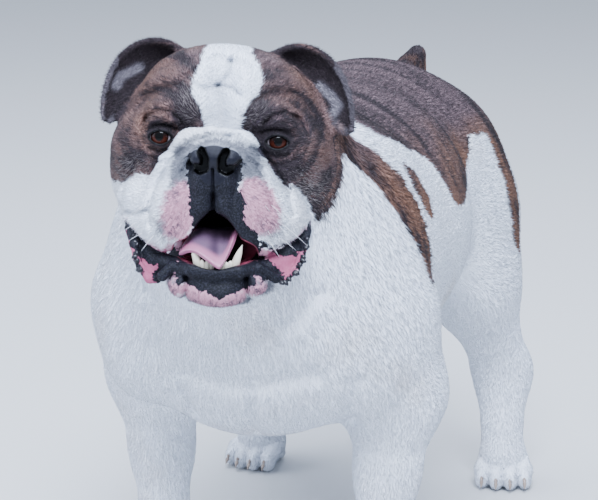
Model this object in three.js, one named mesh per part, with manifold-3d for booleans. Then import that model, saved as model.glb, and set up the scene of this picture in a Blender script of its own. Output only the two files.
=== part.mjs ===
// An english bulldog, life size, standing with its head turned to its left and its mouth open.
// Millimetres, +Z up. The dog faces -Y, its left side is +X, and the floor is z = 0.
//
// The flesh is modelled as masses of muscle and bone that melt into one another: each mass is a signed
// distance, and a smooth minimum joins them. A net of quads is laid over the joined surface, thinned to the
// triangles that its shape needs, and then parted with thin cuts into the parts that a person would name.
import * as THREE from "three";
import { mergeVertices } from "three/addons/utils/BufferGeometryUtils.js";
import Module from "manifold-3d";

const wasm = await Module();
wasm.setup();

// Driving dimensions
const WITHERS = 400; // height of the shoulder
const LOIN = 407; // the back rises a little behind the shoulder
const BRISKET = 150; // underside of the chest
const HIP_Y = 174; // hind legs
const GAP = 0.3; // between parts that touch
const HALF_TRUNK = 132; // half the width of the rib cage
const HALF_HIP = 102;
const HEAD_AT = [3, -259, 412]; // the point between the eyes
const HEAD_YAW = 15.5; // degrees towards the dog's left
const HEAD_PITCH = 6; // degrees nose up
const HEAD_ROLL = 2; // degrees
const EYE_X = 44.5; // half the distance between the eyes
const EYE_Y = 6; // centre of the eyeball behind the face
const EYE_RADIUS = 12;
const LID_WIDTH = 17;
const LID_HEIGHT = 10.5;
const JAW_X = 3; // the jaw hangs a little towards the dog's left
const MIDDLE = [-4, 24]; // moves the origin to the middle of the dog's width and length

const rad = THREE.MathUtils.degToRad;

// Distance fields

// A smooth minimum: the two surfaces melt together over a width of k.
function melt(a, b, k) {
  if (k <= 0) return Math.min(a, b);
  const h = Math.max(k - Math.abs(a - b), 0) / k;
  return Math.min(a, b) - h * h * k * 0.25;
}

// An ellipsoid at a place, with three radii, turned by degrees about x, y and z.
function mass(at, radii, { turn = [0, 0, 0], k = 30, cut = false } = {}) {
  const spin = new THREE.Matrix4().makeRotationFromEuler(new THREE.Euler(...turn.map(rad), "XYZ"));
  const m = spin.transpose().elements;
  const [rx, ry, rz] = radii;
  const reach = Math.max(rx, ry, rz);
  const distance = (x, y, z) => {
    const px = x - at[0];
    const py = y - at[1];
    const pz = z - at[2];
    const u = (m[0] * px + m[4] * py + m[8] * pz) / rx;
    const v = (m[1] * px + m[5] * py + m[9] * pz) / ry;
    const w = (m[2] * px + m[6] * py + m[10] * pz) / rz;
    const k0 = Math.hypot(u, v, w);
    const k1 = Math.hypot(u / rx, v / ry, w / rz);
    return k1 > 1e-9 ? (k0 * (k0 - 1)) / k1 : -Math.min(rx, ry, rz);
  };
  return { at, reach, distance, k, cut };
}

// A limb: a cone with round ends, from a to b, with a radius at each end.
function limb(a, b, ra, rb, { k = 25, cut = false } = {}) {
  const ba = b.map((v, i) => v - a[i]);
  const long2 = ba[0] * ba[0] + ba[1] * ba[1] + ba[2] * ba[2];
  const rr = ra - rb;
  const a2 = long2 - rr * rr;
  const il2 = 1 / long2;
  const at = a.map((v, i) => (v + b[i]) / 2);
  const reach = Math.sqrt(long2) / 2 + Math.max(ra, rb);
  const distance = (x, y, z) => {
    const px = x - a[0];
    const py = y - a[1];
    const pz = z - a[2];
    const yy = px * ba[0] + py * ba[1] + pz * ba[2];
    const zz = yy - long2;
    const qx = px * long2 - ba[0] * yy;
    const qy = py * long2 - ba[1] * yy;
    const qz = pz * long2 - ba[2] * yy;
    const x2 = qx * qx + qy * qy + qz * qz;
    const y2 = yy * yy * long2;
    const z2 = zz * zz * long2;
    const kk = Math.sign(rr) * rr * rr * x2;
    if (Math.sign(zz) * a2 * z2 > kk) return Math.sqrt(x2 + z2) * il2 - rb;
    if (Math.sign(yy) * a2 * y2 < kk) return Math.sqrt(x2 + y2) * il2 - ra;
    return (Math.sqrt(x2 * a2 * il2) + yy * rr) * il2 - ra;
  };
  return { at, reach, distance, k, cut };
}

// A chain of limbs through stops, each [x, y, z, radius].
function chain(stops, { k = 18, cut = false } = {}) {
  return stops
    .slice(1)
    .map((s, i) => limb(stops[i].slice(0, 3), s.slice(0, 3), stops[i][3], s[3], { k, cut }));
}

// A form on the left side and its mirror image on the right.
function both(make) {
  return [...make(1), ...make(-1)].flat();
}

// All the masses as one field. Each is met in turn, and a cut is taken out of what came before it.
function fieldOf(forms) {
  return (x, y, z) => {
    let d = 1e3;
    for (const f of forms) {
      const near = Math.hypot(x - f.at[0], y - f.at[1], z - f.at[2]) - f.reach;
      if (f.cut) {
        if (near < f.k - d || d < 0) d = -melt(-d, f.distance(x, y, z), f.k);
      } else if (near < d + f.k) {
        d = melt(d, f.distance(x, y, z), f.k);
      }
    }
    return d;
  };
}

// Surface of a field

// The twelve edges of a cell as pairs of corners, corner = x + 2y + 4z, and its six faces as corner rings.
const CELL_EDGES = [[0, 1], [2, 3], [4, 5], [6, 7], [0, 2], [1, 3], [4, 6], [5, 7], [0, 4], [1, 5], [2, 6], [3, 7]];
const CELL_FACES = [[0, 1, 3, 2], [4, 5, 7, 6], [0, 1, 5, 4], [2, 3, 7, 6], [0, 2, 6, 4], [1, 3, 7, 5]];
const edgeBetween = new Map(CELL_EDGES.flatMap(([a, b], i) => [[a * 8 + b, i], [b * 8 + a, i]]));
const loopsByMask = new Map();

// For a pattern of inside corners: which surface sheet each crossed edge belongs to, so that two sheets that
// pass through one cell keep a vertex each.
function sheetsOf(mask) {
  if (loopsByMask.has(mask)) return loopsByMask.get(mask);
  const sheet = CELL_EDGES.map((_, i) => i);
  const root = (i) => (sheet[i] === i ? i : root(sheet[i]));
  const inside = (c) => (mask >> c) & 1;
  for (const ring of CELL_FACES) {
    const crossed = ring
      .map((c, i) => [c, ring[(i + 1) % 4]])
      .filter(([a, b]) => inside(a) !== inside(b))
      .map(([a, b]) => ({ edge: edgeBetween.get(a * 8 + b), corner: inside(a) ? a : b }));
    for (const one of crossed)
      for (const other of crossed)
        if (crossed.length === 2 || one.corner === other.corner) sheet[root(one.edge)] = root(other.edge);
  }
  const found = CELL_EDGES.map((_, i) => root(i));
  loopsByMask.set(mask, found);
  return found;
}

// A net of quads over the surface where the field is zero, in a box from lo to hi with cells of one size.
function netOver(field, lo, hi, cell) {
  const n = [0, 1, 2].map((i) => Math.ceil((hi[i] - lo[i]) / cell) + 1);
  const [nx, ny, nz] = n;
  const step = [1, nx, nx * ny];
  const value = new Float32Array(nx * ny * nz);
  for (let k = 0, at = 0; k < nz; k++)
    for (let j = 0; j < ny; j++)
      for (let i = 0; i < nx; i++, at++) {
        const v = field(lo[0] + i * cell, lo[1] + j * cell, lo[2] + k * cell) || 1e-6;
        const rim = i === 0 || j === 0 || k === 0 || i === nx - 1 || j === ny - 1 || k === nz - 1;
        value[at] = rim ? Math.max(v, cell / 2) : v;
      }
  const corner = [0, 1, 2, 3, 4, 5, 6, 7].map((c) => (c & 1) + ((c >> 1) & 1) * nx + ((c >> 2) & 1) * nx * ny);
  const points = [];
  const vertexOf = new Map();
  for (let k = 0; k < nz - 1; k++)
    for (let j = 0; j < ny - 1; j++)
      for (let i = 0; i < nx - 1; i++) {
        const at = i + nx * (j + ny * k);
        let mask = 0;
        for (let c = 0; c < 8; c++) if (value[at + corner[c]] < 0) mask |= 1 << c;
        if (mask === 0 || mask === 255) continue;
        const sheets = sheetsOf(mask);
        const sums = new Map();
        CELL_EDGES.forEach(([a, b], e) => {
          const va = value[at + corner[a]];
          const vb = value[at + corner[b]];
          if (va < 0 === vb < 0) return;
          const t = va / (va - vb);
          const s = sums.get(sheets[e]) || [0, 0, 0, 0];
          for (let q = 0; q < 3; q++) s[q] += ((a >> q) & 1) * (1 - t) + ((b >> q) & 1) * t;
          s[3]++;
          sums.set(sheets[e], s);
        });
        for (const [name, s] of sums) {
          vertexOf.set(at * 12 + name, points.length / 3);
          points.push(lo[0] + (i + s[0] / s[3]) * cell, lo[1] + (j + s[1] / s[3]) * cell, lo[2] + (k + s[2] / s[3]) * cell);
        }
      }
  const maskAt = (at) => corner.reduce((m, c, i) => (value[at + c] < 0 ? m | (1 << i) : m), 0);
  const vertexAt = (at, e) => vertexOf.get(at * 12 + sheetsOf(maskAt(at))[e]);
  const faces = [];
  // For an edge along each axis: the two other axes, and the edge's number in each of the four cells round it.
  const around = [
    { axis: 0, u: 1, v: 2, edges: [0, 1, 3, 2] },
    { axis: 1, u: 2, v: 0, edges: [4, 6, 7, 5] },
    { axis: 2, u: 0, v: 1, edges: [8, 9, 11, 10] },
  ];
  for (let k = 0; k < nz - 1; k++)
    for (let j = 0; j < ny - 1; j++)
      for (let i = 0; i < nx - 1; i++) {
        const at = i + nx * (j + ny * k);
        const index = [i, j, k];
        for (const { axis, u, v, edges } of around) {
          if (index[u] === 0 || index[v] === 0) continue;
          const a = value[at];
          const b = value[at + step[axis]];
          if (a < 0 === b < 0) continue;
          const ring = [
            vertexAt(at, edges[0]),
            vertexAt(at - step[u], edges[1]),
            vertexAt(at - step[u] - step[v], edges[2]),
            vertexAt(at - step[v], edges[3]),
          ];
          if (a >= 0) ring.reverse();
          const far = (p, q) =>
            Math.hypot(points[3 * p] - points[3 * q], points[3 * p + 1] - points[3 * q + 1], points[3 * p + 2] - points[3 * q + 2]);
          if (far(ring[0], ring[2]) < far(ring[1], ring[3]))
            faces.push([ring[0], ring[1], ring[2]], [ring[0], ring[2], ring[3]]);
          else faces.push([ring[1], ring[2], ring[3]], [ring[1], ring[3], ring[0]]);
        }
      }
  settle(points, field, cell);
  return { points, faces };
}

// Moves each point of a net onto the true surface along the field's slope, by at most a third of a cell.
function settle(points, field, cell) {
  const e = 0.2;
  for (let i = 0; i < points.length; i += 3)
    for (let pass = 0; pass < 2; pass++) {
      const [x, y, z] = points.slice(i, i + 3);
      const slope = [
        field(x + e, y, z) - field(x - e, y, z),
        field(x, y + e, z) - field(x, y - e, z),
        field(x, y, z + e) - field(x, y, z - e),
      ].map((s) => s / (2 * e));
      const steep = slope[0] ** 2 + slope[1] ** 2 + slope[2] ** 2;
      if (steep < 0.05) continue;
      const move = THREE.MathUtils.clamp(-field(x, y, z) / steep, -cell / 3, cell / 3);
      for (let q = 0; q < 3; q++) points[i + q] += slope[q] * move;
    }
}

// Thinning a net: the edge whose loss changes the shape least goes first, so that flat stretches keep few
// triangles and the face keeps many. weight makes the change count for more at a place.
function thin({ points, faces }, target, weight) {
  const count = points.length / 3;
  const quadric = Array.from({ length: count }, () => new Float64Array(10));
  const facesOf = Array.from({ length: count }, () => new Set());
  const alive = faces.map(() => true);
  const point = (v) => [points[3 * v], points[3 * v + 1], points[3 * v + 2]];
  const cross = (a, b, c) => {
    const [ux, uy, uz] = [b[0] - a[0], b[1] - a[1], b[2] - a[2]];
    const [vx, vy, vz] = [c[0] - a[0], c[1] - a[1], c[2] - a[2]];
    return [uy * vz - uz * vy, uz * vx - ux * vz, ux * vy - uy * vx];
  };
  const addPlane = (q, a, b, c, d, w) => {
    const terms = [a * a, a * b, a * c, a * d, b * b, b * c, b * d, c * c, c * d, d * d];
    terms.forEach((t, i) => (q[i] += t * w));
  };
  faces.forEach((f, i) => {
    const [a, b, c] = f.map(point);
    const normal = cross(a, b, c);
    const area = Math.hypot(...normal);
    f.forEach((v) => facesOf[v].add(i));
    if (area < 1e-12) return;
    const [nx, ny, nz] = normal.map((s) => s / area);
    const w = area * (weight ? weight(a) : 1);
    f.forEach((v) => addPlane(quadric[v], nx, ny, nz, -(nx * a[0] + ny * a[1] + nz * a[2]), w));
  });
  // A light pull of each vertex to its own place keeps the triangles well shaped.
  for (let v = 0; v < count; v++) {
    const [x, y, z] = point(v);
    const q = quadric[v];
    const w = 2e-3 * (q[0] + q[4] + q[7]);
    addPlane(q, 1, 0, 0, -x, w);
    addPlane(q, 0, 1, 0, -y, w);
    addPlane(q, 0, 0, 1, -z, w);
  }
  const errorAt = (q, [x, y, z]) =>
    q[0] * x * x + 2 * q[1] * x * y + 2 * q[2] * x * z + 2 * q[3] * x + q[4] * y * y +
    2 * q[5] * y * z + 2 * q[6] * y + q[7] * z * z + 2 * q[8] * z + q[9];
  const bestPoint = (q, a, b) => {
    const [m00, m01, m02, b0, m11, m12, b1, m22, b2] = q;
    const det = m00 * (m11 * m22 - m12 * m12) - m01 * (m01 * m22 - m12 * m02) + m02 * (m01 * m12 - m11 * m02);
    const middle = a.map((s, i) => (s + b[i]) / 2);
    if (Math.abs(det) < 1e-12) return middle;
    const x = -(b0 * (m11 * m22 - m12 * m12) - m01 * (b1 * m22 - m12 * b2) + m02 * (b1 * m12 - m11 * b2)) / det;
    const y = -(m00 * (b1 * m22 - m12 * b2) - b0 * (m01 * m22 - m12 * m02) + m02 * (m01 * b2 - b1 * m02)) / det;
    const z = -(m00 * (m11 * b2 - b1 * m12) - m01 * (m01 * b2 - b1 * m02) + b0 * (m01 * m12 - m11 * m02)) / det;
    const long = Math.hypot(a[0] - b[0], a[1] - b[1], a[2] - b[2]);
    const off = Math.hypot(x - middle[0], y - middle[1], z - middle[2]);
    return off < 1.5 * long ? [x, y, z] : middle;
  };
  const heap = [];
  const version = new Int32Array(count);
  const push = (item) => {
    heap.push(item);
    let i = heap.length - 1;
    while (i > 0) {
      const up = (i - 1) >> 1;
      if (heap[up].cost <= heap[i].cost) break;
      [heap[up], heap[i]] = [heap[i], heap[up]];
      i = up;
    }
  };
  const pop = () => {
    const top = heap[0];
    const last = heap.pop();
    if (heap.length) {
      heap[0] = last;
      let i = 0;
      for (;;) {
        let least = i;
        for (const child of [2 * i + 1, 2 * i + 2])
          if (child < heap.length && heap[child].cost < heap[least].cost) least = child;
        if (least === i) break;
        [heap[least], heap[i]] = [heap[i], heap[least]];
        i = least;
      }
    }
    return top;
  };
  const offer = (a, b) => {
    const q = quadric[a].map((s, i) => s + quadric[b][i]);
    const to = bestPoint(q, point(a), point(b));
    push({ cost: errorAt(q, to), a, b, to, va: version[a], vb: version[b] });
  };
  const neighbours = (v) => {
    const found = new Set();
    for (const f of facesOf[v]) for (const u of faces[f]) if (u !== v) found.add(u);
    return found;
  };
  faces.forEach((f) => f.forEach((v, i) => v < f[(i + 1) % 3] && offer(v, f[(i + 1) % 3])));
  // A face round a moved vertex may not turn over or become a sliver.
  const staysSound = (v, other, to) => {
    for (const f of facesOf[v]) {
      if (faces[f].includes(other)) continue;
      const before = faces[f].map(point);
      const after = faces[f].map((u) => (u === v ? to : point(u)));
      const n0 = cross(...before);
      const n1 = cross(...after);
      const l0 = Math.hypot(...n0);
      const l1 = Math.hypot(...n1);
      if (n0[0] * n1[0] + n0[1] * n1[1] + n0[2] * n1[2] < 0.35 * l0 * l1) return false;
      const side = (p, q) => (p[0] - q[0]) ** 2 + (p[1] - q[1]) ** 2 + (p[2] - q[2]) ** 2;
      const longest = Math.max(side(after[0], after[1]), side(after[1], after[2]), side(after[2], after[0]));
      if (l1 < 0.1 * longest && l1 / longest < l0 / Math.max(side(before[0], before[1]), side(before[1], before[2]), side(before[2], before[0])))
        return false;
    }
    return true;
  };
  let left = faces.length;
  while (left > target && heap.length) {
    const { a, b, to, va, vb } = pop();
    if (version[a] !== va || version[b] !== vb) continue;
    const round = neighbours(a);
    const shared = [...neighbours(b)].filter((v) => round.has(v));
    if (shared.length !== 2) continue;
    if (!staysSound(a, b, to) || !staysSound(b, a, to)) continue;
    points[3 * a] = to[0];
    points[3 * a + 1] = to[1];
    points[3 * a + 2] = to[2];
    quadric[b].forEach((s, i) => (quadric[a][i] += s));
    for (const f of [...facesOf[b]]) {
      facesOf[b].delete(f);
      if (faces[f].includes(a)) {
        alive[f] = false;
        left--;
        faces[f].forEach((v) => facesOf[v].delete(f));
      } else {
        faces[f] = faces[f].map((v) => (v === b ? a : v));
        facesOf[a].add(f);
      }
    }
    version[a]++;
    version[b] = -1;
    for (const v of neighbours(a)) offer(Math.min(a, v), Math.max(a, v));
  }
  return { points, faces: faces.filter((_, i) => alive[i]) };
}

// Solids

function solidFrom(points, indices) {
  return new wasm.Manifold(
    new wasm.Mesh({ numProp: 3, vertProperties: new Float32Array(points), triVerts: new Uint32Array(indices) }),
  );
}

// The flesh inside a box as a solid of about so many triangles, kept to its largest closed surface.
function flesh(field, lo, hi, cell, triangles, weight) {
  const net = thin(netOver(field, lo, hi, cell), triangles, weight);
  return largest(solidFrom(net.points, net.faces.flat()));
}

function largest(solid) {
  return solid.decompose().reduce((a, b) => (a.volume() > b.volume() ? a : b));
}

// A three.js geometry, placed by a matrix, as a solid.
function solidOf(geometry, matrix = new THREE.Matrix4()) {
  const bare = geometry.clone();
  bare.deleteAttribute("normal");
  bare.deleteAttribute("uv");
  const merged = mergeVertices(bare.applyMatrix4(matrix), 1e-3);
  return solidFrom(merged.attributes.position.array, merged.index.array);
}

// Everything on the side of a plane that its normal points to, as a large box.
function sideOf(point, normal, shift = 0) {
  const far = 1200;
  const n = new THREE.Vector3(...normal).normalize();
  const box = new THREE.BoxGeometry(2 * far, 2 * far, far);
  const turn = new THREE.Quaternion().setFromUnitVectors(new THREE.Vector3(0, 0, 1), n);
  const centre = new THREE.Vector3(...point).addScaledVector(n, far / 2 + shift);
  return solidOf(box, new THREE.Matrix4().compose(centre, turn, new THREE.Vector3(1, 1, 1)));
}

function ball(at, radii, turn = [0, 0, 0], segments = 32) {
  const place = new THREE.Matrix4().compose(
    new THREE.Vector3(...at),
    new THREE.Quaternion().setFromEuler(new THREE.Euler(...turn.map(rad))),
    new THREE.Vector3(...radii),
  );
  return solidOf(new THREE.SphereGeometry(1, segments, segments / 2), place);
}

// Frame of the head: its own axes at the point between the eyes, parallel to the dog's before they are turned.
const headMatrix = new THREE.Matrix4().compose(
  new THREE.Vector3(...HEAD_AT),
  new THREE.Quaternion().setFromEuler(new THREE.Euler(rad(-HEAD_PITCH), rad(HEAD_ROLL), rad(HEAD_YAW), "ZXY")),
  new THREE.Vector3(1, 1, 1),
);
const headInverse = headMatrix.clone().invert();
const moved = (m, x, y, z) => {
  const e = m.elements;
  return [
    e[0] * x + e[4] * y + e[8] * z + e[12],
    e[1] * x + e[5] * y + e[9] * z + e[13],
    e[2] * x + e[6] * y + e[10] * z + e[14],
  ];
};

// Several masses that have melted together, met by the others as one.
function group(forms, k) {
  const lo = [0, 1, 2].map((q) => Math.min(...forms.map((f) => f.at[q] - f.reach)));
  const hi = [0, 1, 2].map((q) => Math.max(...forms.map((f) => f.at[q] + f.reach)));
  const at = lo.map((v, q) => (v + hi[q]) / 2);
  const reach = Math.hypot(...lo.map((v, q) => (hi[q] - v) / 2));
  return { at, reach, distance: fieldOf(forms), k, cut: false };
}

// Trunk, neck and tail, in the dog's own frame
const trunkForms = [
  mass([0, -50, 282], [HALF_TRUNK, 176, 120]), // rib cage
  mass([0, 72, LOIN - 88], [106, 146, 88], { k: 60 }), // back and loin
  mass([0, 50, 262], [108, 135, 74], { k: 50 }), // belly
  mass([0, HIP_Y, LOIN - 90], [HALF_HIP, 92, 90], { k: 50 }), // rump
  mass([0, -125, WITHERS - 44], [62, 92, 46], { k: 50 }), // withers
  mass([0, -172, 238], [104, 62, 76], { k: 45 }), // chest between the shoulders
  mass([0, -110, BRISKET + 56], [86, 115, 56], { k: 45 }), // brisket
  ...both((s) => [
    mass([s * 76, -118, 312], [50, 76, 82], { k: 40, turn: [12, 0, 0] }), // shoulder blade
    mass([s * 94, -158, 246], [43, 54, 76], { k: 35, turn: [-8, s * -4, 0] }), // upper arm
    mass([s * 81, HIP_Y + 8, 262], [52, 74, 102], { k: 45, turn: [6, s * -6, 0] }), // thigh
  ]),
];

const neckForms = [
  limb([2, -140, 310], [4, -182, 380], 94, 66, { k: 50 }), // neck
  limb([2, -175, 262], [4, -226, 316], 64, 44, { k: 50 }), // throat and dewlap
];

// The feet stand a little apart from one another front to back.
const foreFoot = { left: [101, -142], right: [-98, -140] };
const hindFoot = { left: [126, 200], right: [-114, 182] };
const foreLegs = [[1, foreFoot.left], [-1, foreFoot.right]].flatMap(([s, foot]) =>
  chain([
    [s * 100, -146, 250, 48],
    [foot[0] + s * 5, foot[1] + 16, 184, 42],
    [foot[0] + s, foot[1] + 12, 112, 25],
    [foot[0] - s * 2, foot[1] + 8, 60, 22.5],
  ]),
);
const hindLegs = [[1, hindFoot.left], [-1, hindFoot.right]].flatMap(([s, foot]) =>
  chain([
    [s * 82, HIP_Y, 268, 54],
    [s * 102, HIP_Y - 12, 206, 38],
    [foot[0] - s * 7, foot[1] + 16, 106, 24],
    [foot[0], foot[1] - 10, 32, 20],
  ], { k: 26 }),
);

// A paw: four toes in a bow in front of the pad, each arched, flat where it stands.
const TOES = [-1.5, -0.5, 0.5, 1.5];
function onPaw([x, y], turn, size, across, ahead) {
  const c = Math.cos(rad(turn)) * size;
  const s = Math.sin(rad(turn)) * size;
  return [x + across * c + ahead * s, y - ahead * c + across * s];
}
function pawForms(at, turn, size) {
  const to = (u, v, w) => [...onPaw(at, turn, size, u, v), w * size];
  const toes = TOES.map((t) => {
    const out = 15 * t;
    const ahead = 32 - 5 * Math.abs(t);
    return [
      limb(to(out * 0.75, ahead - 24, 24), to(out, ahead - 6, 19), 9 * size, 10 * size, { k: 5 }),
      mass(to(out, ahead + 2, 11), [8.5 * size, 11 * size, 11.5 * size], { k: 4, turn: [0, 0, turn] }),
    ];
  });
  return [
    mass(to(0, -2, 24), [25 * size, 26 * size, 22 * size], { k: 16 }),
    mass(to(0, -8, 9), [21 * size, 20 * size, 10 * size], { k: 10 }),
    ...toes.flat(),
  ];
}
const paws = [
  { name: "forepaw_left", at: foreFoot.left, turn: 10, size: 1 },
  { name: "forepaw_right", at: foreFoot.right, turn: -10, size: 1 },
  { name: "hindpaw_left", at: hindFoot.left, turn: 12, size: 0.9 },
  { name: "hindpaw_right", at: hindFoot.right, turn: -12, size: 0.9 },
];

const tailForms = chain([
  [0, HIP_Y + 54, 350, 24],
  [2, HIP_Y + 80, 360, 17],
  [8, HIP_Y + 94, 382, 12],
  [16, HIP_Y + 92, 402, 7],
], { k: 14 });

const bodyForms = [
  ...trunkForms,
  ...neckForms,
  ...foreLegs,
  ...hindLegs,
  ...paws.flatMap((p) => pawForms(p.at, p.turn, p.size)),
  ...tailForms,
];
const bodyField = fieldOf(bodyForms);

// Head, in its own frame
const skullForms = [
  mass([0, 60, 20], [66, 72, 48], { k: 20 }), // cranium
  mass([0, 34, 36], [60, 38, 31], { k: 20 }), // forehead
  ...both((s) => [
    mass([s * 56 - 2, 46, -24], [31, 45, 50], { k: 24 }), // cheek
    mass([s * 57, 16, -8], [24, 21, 20], { k: 18 }), // cheekbone
    mass([s * 36, 5, 21], [23, 16, 12], { k: 10, turn: [0, s * 10, s * -14] }), // brow
    mass([s * 46, -12, -1], [18, 9, 12], { k: 8, cut: true }), // hollow of the eye
    mass([s * EYE_X, EYE_Y, 0], [EYE_RADIUS + 4.5, EYE_RADIUS + 3.2, EYE_RADIUS + 3.5], { k: 4 }), // lids
  ]),
  ...chain([[0, -10, 16, 5], [0, -8, 42, 6], [0, 6, 70, 5]], { k: 14, cut: true }), // furrow
];
const muzzleForms = [
  mass([0, -6, -34], [42, 34, 30]), // upper jaw
  ...both((s) => [
    ...chain([
      [0, -31, -1, 13.5],
      [s * 18, -30, -4, 13.5],
      [s * 31, -25, -20, 13.5],
      [s * 39, -19, -38, 14],
      [s * 54, -8, -56, 14],
    ], { k: 6 }), // roll of skin that runs over the nose and down to the corner of the mouth
    mass([s * 31, -32, -52], [22, 21, 34], { k: 8, turn: [0, s * -16, 0] }), // flew in front
    mass([s * 50, -12, -60], [20, 30, 24], { k: 10, turn: [0, 0, s * -14] }), // flew at the side
  ]),
];
const noseForms = [
  mass([0, -43, -11], [19, 12, 12], { k: 5 }),
  mass([0, -42, -30], [16, 12, 18], { k: 8 }), // lip below the nose
  ...both((s) => [
    mass([s * 14, -44, -14], [10.5, 11, 11], { k: 4 }), // wing of the nose
    ...chain([
      [s * 7.5, -62, -7, 2.8],
      [s * 10, -54, -11, 3.8],
      [s * 17, -58, -19, 1.8],
    ], { k: 2, cut: true }), // nostril
  ]),
  limb([0, -57, -14], [0, -55, -54], 1.4, 1.4, { k: 2.5, cut: true }), // groove of the lip
];
const jawForms = [
  mass([JAW_X, -34, -109], [34, 22, 16], { k: 12 }), // chin
  mass([JAW_X, 4, -104], [42, 46, 20], { k: 20 }), // floor of the mouth
  ...both((s) =>
    chain([
      [JAW_X, -50, -98, 9.5],
      [JAW_X + s * 24, -46, -99, 9.5],
      [JAW_X + s * 41, -37, -97, 8.5],
      [JAW_X + s * 54, -23, -86, 8],
      [s * 63, 0, -68, 7],
    ], { k: 8 }),
  ), // lower lip
];
const mouthForms = [
  mass([JAW_X, -30, -79.5], [31, 42, 11.5]),
  mass([0, -14, -77], [29, 24, 15], { k: 3 }),
  limb([JAW_X, -57, -48], [JAW_X, -40, -75], 2.5, 19, { k: 3 }),
];
const mouthField = fieldOf(mouthForms);
const tongueForms = [
  mass([1, 4, -79], [17, 22, 6]),
  mass([1, -16, -76.5], [24, 24, 5.5], { k: 10, turn: [0, -8, 0] }),
  mass([3, -37, -80], [21, 15, 4.5], { k: 8, turn: [18, -4, 0] }),
  mass([-14, -40, -84], [9, 11, 3.6], { k: 6, turn: [16, 16, 0] }), // edge lying over the teeth
  mass([8, -51, -86.5], [9, 8, 3.8], { k: 6, turn: [34, 0, 0] }), // tip
  limb([20, -10, -72], [20, -44, -68], 3.4, 2.6, { k: 7 }), // edge curled up on the left
];
const tongueField = fieldOf(tongueForms);
const faceField = fieldOf([
  ...skullForms,
  group(muzzleForms, 5),
  ...noseForms,
  group(jawForms, 3),
  mass([0, 54, -84], [54, 40, 38], { k: 26 }), // throat
]);

// The head melts into the neck, and then the mouth is hollowed out.
const wholeInHead = (x, y, z) => {
  const joined = melt(faceField(x, y, z), bodyField(...moved(headMatrix, x, y, z)), 30);
  return -melt(-joined, mouthField(x, y, z), 3);
};
const wholeInDog = (x, y, z) => melt(bodyField(x, y, z), faceField(...moved(headInverse, x, y, z)), 30);

// Parts
const dog = new THREE.Group();
dog.position.set(...MIDDLE, 0);
const skin = (name, color, roughness = 0.85) =>
  new THREE.MeshStandardMaterial({ name, color, roughness, metalness: 0 });
const whiteCoat = skin("white coat", 0xe6e3e0);
const brindleCoat = skin("brindle coat", 0x7a5a4a);
const leather = skin("black leather", 0x1d1b24, 0.45);
const wetSkin = skin("wet pink skin", 0xb98a94, 0.3);
const eyeBrown = skin("brown eye", 0x3a1c14, 0.12);

function addPart(name, solid, material, parent = dog) {
  const { vertProperties, triVerts, numProp } = solid.getMesh();
  const position = new Float32Array((vertProperties.length / numProp) * 3);
  for (let i = 0; i < position.length / 3; i++)
    for (let q = 0; q < 3; q++) position[3 * i + q] = vertProperties[i * numProp + q];
  const geometry = new THREE.BufferGeometry()
    .setAttribute("position", new THREE.BufferAttribute(position, 3))
    .setIndex(new THREE.BufferAttribute(new Uint32Array(triVerts), 1));
  geometry.computeVertexNormals();
  const mesh = new THREE.Mesh(geometry, material);
  mesh.name = name;
  parent.add(mesh);
}

const headGroup = new THREE.Group();
headMatrix.decompose(headGroup.position, headGroup.quaternion, headGroup.scale);
dog.add(headGroup);

// The head ends at a plane from behind the skull to behind the jaw, and at one plane behind each cheek.
const HEAD_PLANES = [
  [[0, 112, 40], [0, 0.84, -0.54]],
  [[94, 40, 0], [0.86, 0.5, -0.12]],
  [[-94, 40, 0], [-0.86, 0.5, -0.12]],
];
const turned = (m, [x, y, z]) => new THREE.Vector3(x, y, z).transformDirection(m).toArray();
function headRegion(shift, m = new THREE.Matrix4()) {
  return HEAD_PLANES
    .map(([point, normal]) => sideOf(moved(m, ...point), turned(m, normal.map((v) => -v)), shift))
    .reduce((a, b) => a.intersect(b));
}

// Body: neck, torso, legs and tail, of one surface
const floor = sideOf([0, 0, 0], [0, 0, 1]);
const body = flesh(wholeInDog, [-170, -270, -6], [170, 310, 450], 8, 3900).intersect(floor);
const behindHead = body.subtract(headRegion(-GAP / 2, headMatrix));
const neckPlane = [[0, -105, 410], [0, -0.745, 0.667]];
addPart("neck", largest(behindHead.intersect(sideOf(...neckPlane, GAP / 2))), whiteCoat);

// What lies beyond a plane and within a stretch of y is a limb, and the rest stays with the trunk.
let trunk = behindHead.subtract(sideOf(...neckPlane, -GAP / 2));
function takeOff(point, normal, yFrom, yTo) {
  const beyond = (shift) =>
    sideOf(point, normal, shift)
      .intersect(sideOf([0, yFrom, 0], [0, 1, 0]))
      .intersect(sideOf([0, yTo, 0], [0, -1, 0]));
  const limbSolid = largest(trunk.intersect(beyond(GAP / 2)));
  trunk = trunk.subtract(beyond(-GAP / 2));
  return limbSolid;
}
const PAW_TOP = 52;
for (const [side, s] of [["left", 1], ["right", -1]]) {
  const foreleg = takeOff([s * 68, -150, 165], [s * 0.85, -0.12, -0.52], -320, -66);
  const hindleg = takeOff([s * 74, 140, 210], [s * 0.78, 0.35, -0.52], 40, 340);
  const above = sideOf([0, 0, PAW_TOP], [0, 0, 1], GAP / 2);
  addPart(`foreleg_${side}`, foreleg.intersect(above), whiteCoat);
  addPart(`hindleg_${side}`, hindleg.intersect(above), whiteCoat);
}
addPart("tail", takeOff([0, HIP_Y + 86, 356], [0, 0.85, 0.5], HIP_Y, 400), whiteCoat);
addPart("torso", largest(trunk), whiteCoat);

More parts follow.
